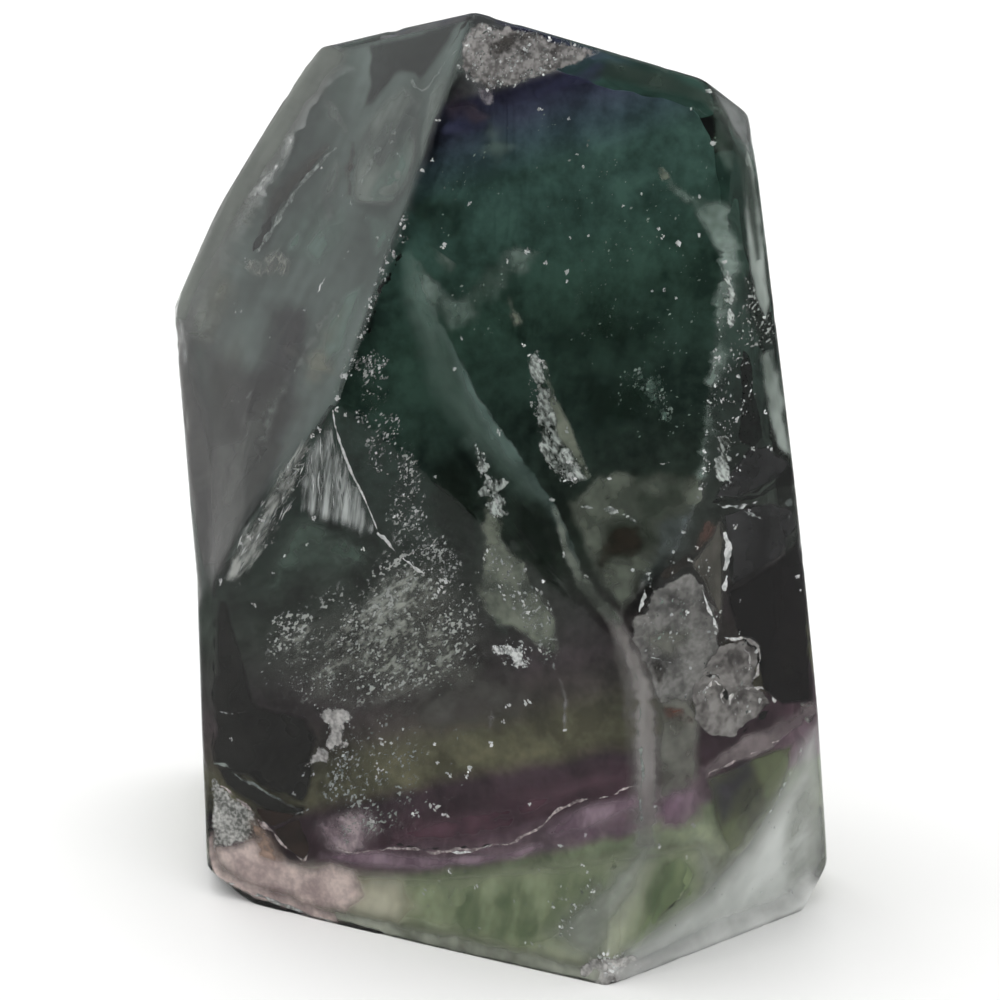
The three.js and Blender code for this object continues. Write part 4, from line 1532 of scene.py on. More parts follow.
@dataclass(frozen=True)
class FrostDrift(Group):
    """The drift of fine frost that crosses the lower left face."""

    inlays: tuple[Inlay, ...] = (
        Sheet("drift_well", MURK, (424, 455, 446, 436, 474, 450, 486, 495, 482, 548, 462, 562, 436, 548,
            420, 500), 2.6),
        Sheet("drift_well_two", MURK, (508, 496, 545, 512, 562, 550, 574, 600, 562, 612, 535, 572, 510, 540),
            2.2),
        Sheet("drift_dusk", DUSK_HAZE, (470, 650, 520, 655, 566, 670, 580, 706, 560, 745, 500, 755, 430, 745,
            395, 722, 430, 690), 2.0),
        Sheet("drift_haze", HAZE, (340, 590, 400, 556, 445, 548, 484, 585, 512, 640, 548, 690, 530, 730,
            470, 744, 400, 742, 330, 728, 280, 706, 256, 650), 1.4),
        Sheet("drift_lens", HAZE, (395, 672, 430, 655, 470, 650, 500, 668, 480, 690, 430, 700), 1.0),
        Sheet("drift_body", DRIFT, (296, 606, 340, 588, 378, 548, 402, 552, 440, 546, 478, 578, 490, 622,
            482, 662, 456, 692, 420, 704, 380, 694, 330, 704, 286, 686, 262, 640), 0.9, fray=0.4),
        Sheet("drift_glitter", SPARK, (246, 600, 330, 582, 380, 540, 440, 524, 500, 570, 502, 650, 470, 690,
            400, 712, 330, 716, 290, 706, 254, 660), 0.6),
        Sheet("drift_glitter_high", SPARK_FINE, (348, 350, 388, 350, 400, 415, 426, 460, 436, 500, 462, 560,
            430, 575, 390, 545, 376, 500, 358, 450, 350, 400), 0.6),
        Sheet("drift_glitter_low", SPARK_FINE, (330, 720, 400, 716, 440, 750, 400, 840, 340, 850, 308, 800),
            0.6),
        Flakes("drift_patch", SCALE, (360, 352, 374, 350, 390, 360, 390, 378, 372, 382, 360, 372), 220,
            (0.08, 0.45), (0.3, 0.8), (-0.2, 1.6), Leaves(dim=2.2)),
        Flakes("drift_upper", SCALE, (352, 410, 396, 410, 412, 450, 428, 490, 424, 505, 396, 500, 372, 470),
            560, (0.06, 0.42), (0.3, 1.0), (0.0, 2.4), Leaves(35, dim=2.6)),
        Flakes("drift_middle", SCALE, (376, 505, 420, 505, 452, 545, 482, 575, 440, 580, 396, 545), 640,
            (0.06, 0.45), (0.3, 1.0), (0.0, 2.0), Leaves(40, dim=2.2)),
        Flakes("drift_dense", DULL_SCALE, (386, 575, 440, 540, 492, 570, 494, 640, 466, 694, 400, 704,
            330, 706, 276, 680, 280, 640), 2600, (0.05, 0.34), (0.3, 1.2), (0.06, 2.6),
            Leaves(58, 26, 2.4, 1.5)),
        Flakes("drift_bright", SCALE, (392, 556, 440, 536, 488, 570, 484, 610, 446, 650, 390, 680, 330, 690,
            290, 670, 330, 620), 1000, (0.05, 0.38), (0.2, 0.5), (0.1, 2.4), Leaves(60, 26, 2.6, 2.4)),
        Flakes("drift_thin", SCALE, (262, 630, 330, 590, 370, 600, 360, 716, 300, 716, 262, 680), 380,
            (0.06, 0.36), (0.3, 1.0), (-0.2, 2.0), Leaves(60, 24, 2.4, 2.8)),
        Flakes("drift_low", DULL_SCALE, (330, 700, 420, 690, 480, 740, 470, 830, 380, 830, 320, 790), 420,
            (0.06, 0.4), (0.3, 1.4), (0.12, 2.6), Leaves(50, 30, 2.4)),
        Flakes("drift_foot", SCALE, (400, 866, 520, 856, 610, 870, 580, 950, 500, 960, 430, 935), 300,
            (0.08, 0.45), (0.3, 1.2), (0.1, 3.0), Leaves(-20, 30, 2.6)),
        Sheet("drift_chip", FROST_PALE, (316, 711, 326, 706, 350, 708, 357, 716, 348, 724, 346, 745,
            331, 753, 322, 745, 328, 729, 318, 721), 0.45, fray=0.2),
        Ribbon("drift_tail", FROST_PALE, (300, 768, 318, 758, 336, 749, 354, 739), (0.4, 1.0, 0.7), 0.45,
            uneven=0.8),
        Flakes("drift_chip_grains", SCALE, (314, 706, 352, 704, 396, 730, 388, 780, 340, 790, 296, 775,
            318, 745), 320, (0.1, 0.5), (0.25, 0.6), (-0.05, 1.8), Leaves(50)),
        Ribbon("drift_strip", VEIL_GREY, (493, 698, 490, 720, 487, 744), (0.4, 0.9, 0.6), 0.8, uneven=0.6),
        Ribbon("drift_strip_two", VEIL_GREY, (560, 676, 566, 700, 563, 730), (0.5, 1.0, 0.5), 1.2),
        Specks("drift_points", BRIGHT_SCALE_AND_GLINT, (343, 376, 0.6, 527, 701, 0.6, 565, 730, 0.35, 491, 742, 0.5,
            435, 744, 0.4, 403, 728, 0.3, 438, 763, 0.35, 450, 774, 0.5, 470, 768, 0.6, 466, 776, 0.4,
            416, 813, 0.5, 431, 805, 0.6, 437, 808, 0.5, 446, 815, 0.4, 373, 820, 0.5, 530, 804, 0.4,
            562, 845, 0.4, 508, 706, 0.4, 504, 722, 0.35, 380, 770, 0.5, 376, 777, 0.4, 384, 743, 0.4,
            296, 836, 0.35, 227, 739, 0.3, 294, 794, 0.35, 586, 835, 0.35), depth=0.35))


@dataclass(frozen=True)
class LowerLeft(Group):
    """The dark clear corner at the lower left, and the stained and frosted break under it."""

    inlays: tuple[Inlay, ...] = (
        # Painted shade: the dark of the clear corner.
        Sheet("left_window", MURK_GREY, (203, 592, 228, 594, 242, 640, 262, 700, 308, 712, 322, 740,
            318, 790, 308, 808, 290, 804, 262, 792, 230, 776, 206, 765), 0.9, fray=0.2),
        Ribbon("left_edge_line", SEAM_AND_SHADOW, (203, 575, 205, 640, 207, 700, 209, 762), (0.3, 0.3, 0.3), 0.25),
        Sheet("left_bevel", MURK_GREY, (209, 764, 226, 764, 250, 776, 286, 796, 312, 806, 304, 820, 282, 822,
            258, 810, 240, 799, 222, 788), 0.5, fray=0.1),
        Sheet("corner_frost", CORNER_FROST, (207, 770, 214, 776, 232, 796, 247, 803, 256, 812, 264, 828,
            250, 842, 228, 850, 209, 850), 0.4, fray=0.15),
        Sheet("corner_crust", PINK, (207, 842, 236, 836, 256, 828, 272, 828, 278, 842, 292, 857, 310, 862,
            330, 856, 362, 866, 372, 900, 350, 922, 300, 910, 262, 897, 232, 885, 215, 868), 0.45),
        Ribbon("corner_crust_rim", PINK, (212, 828, 213, 852, 220, 872, 250, 886, 282, 897, 320, 911,
            346, 918), (1.0, 1.6, 1.4), 0.3, wander=0.0, uneven=0.1, keen=(12.0, 1.0)),
        Sheet("corner_straw", STRAW, (284, 856, 330, 856, 370, 866, 410, 868, 430, 910, 400, 938, 352, 926,
            316, 912, 284, 900), 0.65, fray=0.1),
        Sheet("corner_tan", TAN, (246, 816, 258, 816, 270, 828, 282, 842, 290, 856, 280, 868, 258, 860,
            244, 840), 0.3),
        Sheet("corner_hole", HOLE, (253, 806, 264, 807, 282, 811, 298, 815, 288, 822, 272, 827, 262, 820),
            0.2, fray=0.1),
        Sheet("corner_hole_two", HOLE, (273, 828, 284, 824, 300, 817, 303, 826, 308, 838, 311, 848, 306, 860,
            296, 856, 283, 847, 277, 838), 0.2, fray=0.1),
        Ribbon("corner_undercut_line", THREAD, (222, 880, 240, 888, 266, 898, 300, 911, 334, 922),
            (0.2, 0.34, 0.2), 0.25, wander=0.03),
        Ribbon("corner_crack", CREST, (208, 763, 224, 766, 243, 780, 264, 790, 284, 802, 304, 814),
            (0.26, 0.34, 0.22), 0.35, wander=0.1, uneven=0.4),
        Ribbon("corner_crack_two", THREAD, (270, 826, 284, 822, 299, 814, 310, 810), (0.12, 0.2, 0.15),
            0.25),
        Ribbon("corner_crack_three", ROSE_LINE, (209, 772, 218, 785, 234, 798, 248, 804, 256, 816, 264, 826,
            274, 832, 286, 850, 304, 861, 312, 852), (0.1, 0.22, 0.12), 0.25, uneven=0.8),
        Ribbon("corner_scuff", THREAD, (214, 712, 228, 713, 246, 714), (0.06, 0.16, 0.06), 0.5, uneven=0.9))


@dataclass(frozen=True)
class FootBands(Group):
    """The mauve and plum layers, the crack that follows them, and the green foot."""

    inlays: tuple[Inlay, ...] = (
        Sheet("band_plum", PLUM, (380, 822, 420, 812, 460, 798, 540, 780, 600, 764, 642, 760, 638, 786,
            600, 797, 570, 806, 548, 822, 530, 838, 500, 850, 440, 856, 384, 852), 0.8),
        Sheet("band_mauve", MAUVE_PALE, (304, 816, 330, 806, 372, 806, 390, 824, 386, 846, 372, 858,
            340, 862, 312, 856), 0.6),
        Sheet("band_mauve_low", MAUVE, (316, 848, 380, 848, 440, 853, 500, 849, 540, 838, 560, 846, 520, 862,
            440, 872, 350, 870, 318, 862), 0.55),
        Sheet("band_mauve_two", MAUVE, (534, 836, 552, 814, 574, 802, 640, 786, 644, 812, 620, 820, 590, 836,
            552, 846), 0.5, fray=0.15),
        Sheet("band_mauve_deep", MAUVE_DEEP, (556, 842, 590, 824, 632, 812, 642, 836, 610, 846, 572, 850),
            0.45),
        Sheet("band_mauve_three", MAUVE, (648, 794, 676, 786, 704, 780, 712, 822, 694, 834, 654, 840), 0.55),
        Sheet("band_mauve_spots", MAUVE_DEEP, (652, 800, 676, 796, 700, 800, 704, 824, 676, 834, 656, 834),
            0.45),
        Ribbon("band_seam", SEAM_AND_SHADOW, (380, 843, 430, 848, 480, 848, 510, 842, 530, 830), (0.15, 0.3, 0.15), 0.5,
            uneven=0.8),
        Ribbon("band_crack", ROSE_LINE, (336, 847, 352, 852, 374, 852, 388, 846, 412, 848, 436, 850,
            448, 852, 462, 851, 480, 848, 505, 845, 518, 838, 530, 832, 540, 826, 552, 814, 566, 806,
            584, 800, 606, 794, 634, 786), (0.16, 0.26, 0.16), 0.25, wander=0.2, uneven=0.5),
        Ribbon("band_crack_bright", AIR_LINE, (452, 852, 462, 851, 474, 849, 492, 846), (0.1, 0.3, 0.12),
            0.25, wander=0.25, uneven=0.8),
        Sheet("foot_green", FOOT_PALE, (296, 866, 340, 864, 400, 868, 470, 866, 540, 858, 652, 844, 708, 834,
            722, 876, 690, 936, 640, 972, 606, 990, 560, 980, 480, 962, 400, 943, 336, 925, 296, 912), 1.05,
            fray=0.05),
        Sheet("foot_leaf", LEAF, (380, 866, 440, 864, 530, 856, 640, 842, 640, 890, 600, 950, 520, 962,
            450, 946, 390, 930), 0.85, fray=0.1),
        Sheet("foot_spots", LEAF_DARK, (440, 880, 500, 870, 580, 862, 640, 856, 632, 900, 580, 944, 510, 956,
            430, 940), 0.7),
        Ribbon("foot_rim", FOOT_GREY, (330, 911, 420, 934, 500, 952, 560, 966, 604, 975), (1.0, 1.7, 1.4),
            0.3, wander=0.0, uneven=0.1, keen=(12.0, 1.0)),
        Sheet("foot_lens", LEAF_DEEP, (646, 846, 690, 838, 708, 866, 712, 900, 682, 934, 640, 968, 612, 984,
            596, 972, 624, 920, 638, 880), 0.85, fray=0.1),
        Sheet("foot_lens_spots", LEAF_DARK, (660, 850, 690, 846, 700, 880, 690, 908, 650, 930, 640, 900),
            0.8),
        # Partly a veil, partly painted highlight: the broad whitish band where the ridge's sheen runs down
        # to the foot.
        Ribbon("foot_smear", SMEAR, (650, 822, 642, 856, 618, 892, 590, 924, 566, 960), (3.0, 5.0, 7.0),
            0.45, wander=0.05, uneven=0.05),
        Ribbon("foot_tongue", SMEAR, (692, 830, 703, 856, 711, 880, 708, 904), (1.4, 3.0, 1.6), 0.5,
            wander=0.05, uneven=0.1),
        Ribbon("foot_mast_left", MAST_DARK, (602, 606, 616, 640, 627, 690, 632, 740, 633, 790, 628, 836),
            (0.9, 1.5, 1.0), 0.7, wander=0.05, uneven=0.15),
        # Partly a grey veil, partly painted highlight along the ridge.
        Ribbon("foot_mast", MAST_AND_SHEEN, (612, 612, 628, 650, 643, 690, 646, 740, 646, 800, 645, 852),
            (1.6, 2.5, 2.4), 0.6, wander=0.05, uneven=0.15),
        Ribbon("foot_mast_edge", CREST, (612, 622, 626, 652, 639, 690, 641, 740, 641, 790, 638, 846),
            (0.15, 0.3, 0.25), 0.45, uneven=0.7),
        Ribbon("foot_branch", VEIL_GREY, (624, 612, 634, 598, 644, 584, 656, 572), (0.9, 0.9, 0.5), 0.8),
        Sheet("foot_boom", PALE_OLIVE, (652, 690, 690, 694, 704, 712, 704, 782, 690, 800, 652, 806), 0.9,
            fray=0.1),
        Sheet("foot_ember", RUST, (656, 704, 684, 706, 698, 718, 690, 726, 664, 718), 0.8),
        Sheet("foot_wedge", OLIVE, (703, 778, 750, 756, 796, 738, 792, 770, 774, 808, 744, 846, 728, 858,
            714, 824), 0.9, fray=0.15),
        Sheet("foot_wedge_slate", WEDGE_SLATE, (703, 776, 744, 758, 762, 762, 752, 790, 730, 826, 716, 836),
            0.6),
        Ribbon("foot_strap", STRAP, (698, 772, 722, 760, 756, 742, 790, 721, 820, 702), (1.2, 2.1, 1.3), 0.4,
            wander=0.1, uneven=0.15, keen=(2.5, 1.0)),
        Ribbon("foot_ridge", FOOT_PALE, (622, 880, 612, 926, 606, 974), (1.6, 3.0, 3.0), 0.5, wander=0.0,
            uneven=0.05),
        Ribbon("foot_strap_edge", ROSE_LINE, (704, 778, 710, 772, 730, 763, 754, 752, 782, 738),
            (0.1, 0.18, 0.08), 0.35, uneven=0.8),
        Sheet("foot_fog", MILK, (824, 706, 832, 862, 806, 914, 700, 954, 610, 990, 556, 984, 636, 930,
            694, 886, 738, 840, 772, 786, 796, 738), 0.7, fray=0.1),
        # Partly milk, partly painted light: a white rim that brightens the fog along the downward-facing
        # foot.
        Ribbon("foot_fog_rim", MILK_RIM_AND_LIGHT, (606, 976, 660, 958, 704, 943, 760, 921, 800, 902, 820, 866),
            (2.0, 4.6, 3.6), 0.3, wander=0.0, uneven=0.05, keen=(12.0, 1.0)),
        # Painted shade over the fog's upper part.
        Sheet("foot_fog_shade", MILK_SHADE, (790, 752, 820, 742, 827, 800, 829, 864, 812, 900, 786, 900,
            774, 860, 776, 800), 0.4, fray=0.0),
        Ribbon("foot_fog_edge", THREAD, (792, 762, 784, 784, 774, 806, 768, 814), (0.1, 0.25, 0.1), 0.5,
            uneven=0.8),
        Sheet("foot_tip", FROST_PALE, (576, 966, 590, 956, 606, 950, 628, 954, 652, 960, 632, 982, 602, 990,
            580, 980), 0.3),
        Flakes("foot_tip_grains", BRIGHT_SCALE_AND_GLINT, (586, 964, 608, 948, 642, 958, 640, 970, 612, 984), 160,
            (0.1, 0.45), (0.2, 0.4), (-0.4, 1.5)),
        Flakes("foot_glitter", SCALE, (548, 892, 598, 868, 606, 900, 574, 950, 546, 934), 240, (0.08, 0.4),
            (0.2, 0.6), (0.0, 1.8), Leaves(-30, 30, 2.2, 2.2)),
        Flakes("foot_sparks", BRIGHT_SCALE_AND_GLINT, (790, 770, 812, 760, 820, 850, 790, 880, 700, 930, 620, 978,
            590, 966, 740, 870), 300, (0.08, 0.4), (0.2, 0.9), (0.15, 3.0)),
        Specks("foot_glints", BRIGHT_SCALE_AND_GLINT, (554, 907, 0.4, 574, 906, 0.45, 593, 891, 0.35, 561, 927, 0.4,
            583, 865, 0.3, 588, 872, 0.3, 655, 806, 0.3, 784, 863, 0.4, 790, 849, 0.35, 772, 878, 0.3,
            800, 750, 0.3, 659, 847, 0.35, 686, 857, 0.3, 694, 825, 0.35, 525, 942, 0.4, 477, 885, 0.35,
            450, 873, 0.3), depth=0.35))


@dataclass(frozen=True)
class RightBreak(Group):
    """The stepped fracture inside the right face, from its dark polish to its knobbly foot."""

    inlays: tuple[Inlay, ...] = (
        # Painted shade: the dark polish of the right face.
        Sheet("right_pane", PANE, (724, 592, 752, 575, 788, 548, 801, 526, 813, 702, 784, 708, 762, 692,
            754, 664, 736, 636), 1.1, fray=0.1),
        Sheet("right_plate", PLATE, (722, 514, 752, 504, 770, 500, 793, 508, 797, 530, 782, 556, 752, 576,
            730, 592, 725, 550), 0.8, fray=0.15),
        Sheet("right_plate_two", PLATE, (712, 500, 722, 480, 748, 446, 770, 446, 793, 466, 772, 486,
            740, 500), 1.0, fray=0.15),
        Sheet("right_notch", SEAM_AND_SHADOW, (704, 506, 716, 498, 740, 496, 758, 494, 770, 482, 795, 462, 796, 486,
            776, 490, 756, 500, 736, 502, 718, 504), 0.5, fray=0.2),
        Ribbon("right_notch_edge", THREAD, (716, 505, 728, 506, 740, 507, 750, 505, 762, 499),
            (0.12, 0.3, 0.12), 0.35, uneven=0.8),
        Ribbon("right_rim", THREAD, (784, 502, 792, 506, 789, 516, 788, 524), (0.08, 0.16, 0.06), 0.35),
        Ribbon("right_dashes", THREAD, (744, 510, 754, 517, 766, 522, 778, 529), (0.16, 0.3, 0.14), 0.35,
            uneven=1.0),
        Ribbon("right_bolt_shade", SEAM_AND_SHADOW, (721, 512, 728, 528, 731, 560, 730, 596), (0.3, 0.45, 0.3), 0.45),
        Ribbon("right_bolt", AIR_LINE, (724, 532, 728, 542, 728, 556, 725, 571), (0.26, 0.46, 0.3), 0.3,
            wander=0.1, uneven=0.5),
        Ribbon("right_bolt_low", AIR_LINE, (725, 575, 725, 582, 724, 591), (0.3, 0.4, 0.25), 0.3,
            uneven=0.4),
        Sheet("right_backing", BACKING, (620, 622, 642, 592, 690, 570, 722, 600, 724, 660, 704, 740,
            672, 780, 648, 760, 636, 700), 1.3, fray=0.1),
        Sheet("right_ledge", LEDGE, (688, 566, 702, 544, 714, 522, 722, 512, 727, 540, 726, 600, 723, 630,
            712, 608, 700, 584), 0.72, fray=0.1),
        Sheet("right_stain", RUST, (684, 552, 696, 530, 712, 516, 722, 520, 720, 532, 704, 548, 694, 560),
            0.8),
        Sheet("right_shade", UMBER, (656, 576, 672, 562, 690, 552, 694, 562, 680, 572, 664, 584), 0.7),
        Sheet("right_pale", PALE_PLATE, (648, 594, 664, 580, 690, 572, 704, 582, 712, 600, 722, 628,
            718, 650, 708, 690, 690, 704, 660, 704, 640, 668, 628, 640, 630, 620, 640, 606), 0.8, rumple=0.3,
            rumple_span=3.0),
        Sheet("right_smooth", PALE_OLIVE, (640, 634, 664, 624, 694, 622, 698, 636, 674, 660, 650, 656,
            640, 648), 0.6),
        # Painted shade in the nook.
        Sheet("right_nook", UMBER, (640, 656, 656, 658, 672, 664, 664, 688, 654, 686), 0.5),
        Ribbon("right_nook_edge", THREAD, (640, 655, 654, 657, 671, 662), (0.1, 0.2, 0.1), 0.35),
        Flakes("right_pits", GREEN_SCALE, (652, 600, 684, 600, 700, 620, 690, 640, 660, 640, 644, 620), 60,
            (0.1, 0.4), (0.3, 0.5), (0.0, 2.0)),
        Sheet("right_lumps", LUMPS, (686, 704, 698, 672, 712, 650, 722, 640, 740, 637, 756, 643, 761, 656,
            759, 672, 755, 684, 766, 692, 778, 703, 764, 713, 750, 723, 738, 737, 712, 738, 694, 726), 0.7,
            rumple=0.35, rumple_span=1.5),
        Ribbon("right_lumps_line", SEAM_AND_SHADOW, (780, 702, 765, 714, 751, 724, 737, 738), (0.15, 0.4, 0.2), 0.35,
            uneven=0.6),
        Ribbon("right_knob", KNOB_LINE, (712, 654, 717, 644, 728, 638, 744, 638, 756, 646, 760, 660,
            757, 676, 748, 684), (0.2, 0.55, 0.25), 0.35, wander=0.15, uneven=0.6),
        Ribbon("right_knob_inner", KNOB_LINE, (722, 650, 736, 646, 748, 652, 752, 664, 744, 674, 730, 672),
            (0.1, 0.3, 0.12), 0.35, wander=0.3, uneven=0.8),
        Ribbon("right_knob_two", KNOB_LINE, (733, 712, 730, 698, 738, 688, 752, 686, 766, 692, 776, 703),
            (0.15, 0.5, 0.25), 0.35, wander=0.2, uneven=0.7),
        Ribbon("right_knob_three", KNOB_LINE, (690, 702, 700, 688, 712, 680, 722, 688, 724, 704, 734, 718),
            (0.15, 0.45, 0.2), 0.35, wander=0.4, uneven=0.8),
        Ribbon("right_knob_shade", SEAM_AND_SHADOW, (704, 674, 716, 676, 725, 690, 728, 708), (0.2, 0.5, 0.2), 0.5,
            uneven=0.9),
        Ribbon("right_crease", AIR_LINE, (702, 590, 708, 604, 714, 622, 723, 638, 740, 640),
            (0.1, 0.26, 0.14), 0.3, uneven=0.8),
        Ribbon("right_crease_two", AIR_LINE, (645, 588, 644, 598, 640, 612), (0.2, 0.4, 0.15), 0.3,
            uneven=0.5),
        Flakes("right_crumbs", SCALE, (640, 575, 700, 545, 724, 600, 762, 670, 756, 724, 690, 704, 632, 650),
            620, (0.08, 0.42), (0.3, 0.7), (0.06, 2.0)),
        Specks("right_points", BRIGHT_SCALE_AND_GLINT, (736, 526, 0.45, 720, 612, 0.35, 798, 576, 0.35, 800, 590, 0.3,
            697, 547, 0.35, 690, 560, 0.4, 708, 568, 0.4, 686, 612, 0.4, 672, 614, 0.35, 749, 510, 0.3,
            706, 690, 0.5, 756, 652, 0.4, 760, 700, 0.4, 740, 600, 0.2), depth=0.3))


@dataclass(frozen=True)
class RightEdge(Group):
    """The light band and the silvery rubble along the ridge between the front and right faces."""

    inlays: tuple[Inlay, ...] = (
        Sheet("edge_strip", SATIN, (744, 128, 756, 165, 764, 240, 771, 300, 768, 330, 752, 300, 744, 240,
            740, 180), 0.6, fray=0.1),
        Sheet("edge_strip_dark", MURK, (742, 262, 770, 268, 780, 350, 772, 372, 752, 340, 740, 300), 1.3),
        Sheet("edge_shards", SPARK_FINE, (736, 268, 768, 262, 780, 340, 768, 370, 744, 350, 732, 310), 0.6),
        Sheet("edge_strip_low", SATIN, (752, 352, 775, 344, 786, 400, 794, 466, 782, 458, 766, 424), 0.6),
        Sheet("edge_gap", SEAM_AND_SHADOW, (741, 346, 750, 352, 756, 392, 766, 440, 752, 452, 738, 440, 740, 400), 0.9),
        Ribbon("edge_band", VEIL_GREEN, (732, 240, 727, 300, 722, 350, 714, 400, 708, 440, 704, 490),
            (2.2, 2.2, 1.6), 0.8, keen=(2.0, 1.0)),
        Ribbon("edge_band_low", VEIL_GREEN, (704, 425, 704, 456, 700, 490, 690, 512), (1.6, 1.9, 1.0), 0.6),
        Ribbon("edge_rubble", SILVER, (726, 428, 722, 452, 722, 470, 716, 490), (0.9, 1.6, 0.8), 0.5,
            rumple=0.3, uneven=0.6),
        Ribbon("edge_rubble_high", SILVER, (728, 268, 730, 310, 732, 340, 730, 362), (0.4, 0.9, 0.4), 0.5,
            rumple=0.3, uneven=0.9),
        Flakes("edge_crumbs", SCALE, (718, 290, 750, 300, 758, 400, 742, 470, 718, 506, 694, 512, 704, 440,
            714, 360), 760, (0.1, 0.42), (0.3, 0.8), (0.02, 1.8), Leaves(8, 28, 2.0)),
        Specks("edge_points", BRIGHT_SCALE_AND_GLINT, (720, 357, 0.5, 708, 402, 0.35, 716, 386, 0.3, 704, 452, 0.4,
            704, 470, 0.5, 700, 488, 0.4, 764, 318, 0.35, 750, 296, 0.3, 738, 376, 0.4, 736, 420, 0.4,
            752, 448, 0.35, 765, 412, 0.4, 770, 448, 0.4, 725, 262, 0.4), depth=0.35),
        Sheet("shoulder_frost", SHOULDER, (704, 84, 728, 96, 748, 110, 757, 166, 740, 152, 724, 116), 0.6,
            fray=0.0))


@dataclass(frozen=True)
class RidgeHighlights(Group):
    """The chips along the ridge that parts the crown's left face from its front, with painted light and
    shade: a pale line and bright specks where the eased edge and its chips catch the light, and a dark line
    of painted shadow beside them.
    """

    inlays: tuple[Inlay, ...] = (
        Ribbon("ridge_shade", SEAM_AND_SHADOW, (410, 232, 398, 262, 384, 286, 374, 312, 370, 334), (0.15, 0.35, 0.15),
            0.4, uneven=1.0),
        # Painted highlight: a pale line where the eased ridge catches the light.
        Ribbon("ridge_line", PALE_SMOKE_AND_HIGHLIGHT, (404, 216, 396, 250, 380, 290, 366, 326, 348, 376, 336, 404),
            (0.5, 0.7, 0.5), 0.3),
        # Painted glints: bright specks where the ridge's chips catch the light.
        Specks("ridge_chips", BRIGHT_SCALE_AND_GLINT, (438, 120, 0.3, 433, 160, 0.3, 421, 171, 0.5, 404, 220, 0.5,
            403, 228, 0.4, 379, 239, 0.3, 393, 252, 0.4, 387, 262, 0.4, 381, 271, 0.5, 371, 300, 0.5,
            370, 306, 0.45, 361, 336, 0.35, 346, 376, 0.6, 337, 398, 0.4, 336, 409, 0.4, 368, 319, 0.3,
            376, 284, 0.3), depth=0.25),
        Flakes("ridge_sparks_upper", SCALE, (400, 212, 410, 214, 408, 240, 392, 268, 378, 300, 370, 302,
            384, 255), 120, (0.1, 0.4), (0.12, 0.4), (-0.1, 1.5), Leaves(10)),
        Flakes("ridge_sparks_lower", SCALE, (366, 305, 376, 306, 358, 360, 342, 404, 330, 404, 348, 350),
            130, (0.1, 0.4), (0.12, 0.4), (-0.05, 1.5)))


# ---------------------------------------------------------------- sub-assemblies


@dataclass(frozen=True)
class HeelBack(Group):
    """The pale green foot behind the lowest flats at the back and the left."""

    inlays: tuple[Inlay, ...] = (
        Sheet("heel_left", HEEL, (514, 880, 560, 890, 640, 862, 744, 815, 750, 893, 728, 908, 651, 956,
            547, 992, 514, 944), 0.35, fray=0.1),
        Sheet("heel_back", HEEL, (222, 780, 300, 822, 420, 880, 512, 925, 518, 944, 549, 992, 480, 962,
            380, 914, 234, 848), 0.3, fray=0.1),
        Flakes("heel_grains", SCALE, (514, 900, 640, 880, 744, 830, 744, 890, 651, 950, 550, 980), 260,
            (0.08, 0.4), (0.1, 0.3), (0.05, 3.0), Leaves(20, 30, 2.0)))


@dataclass(frozen=True)
class HeelRight(Group):
    """The pale green foot behind the lowest flats at the right and the back."""

    inlays: tuple[Inlay, ...] = (
        Sheet("heel_right", HEEL, (256, 850, 352, 850, 420, 890, 497, 890, 622, 815, 622, 834, 497, 931,
            410, 934, 267, 921, 258, 874), 0.35, fray=0.1),
        Sheet("heel_back_right", HEEL, (620, 826, 760, 812, 918, 796, 873, 852, 690, 892, 495, 931), 0.3,
            fray=0.1))


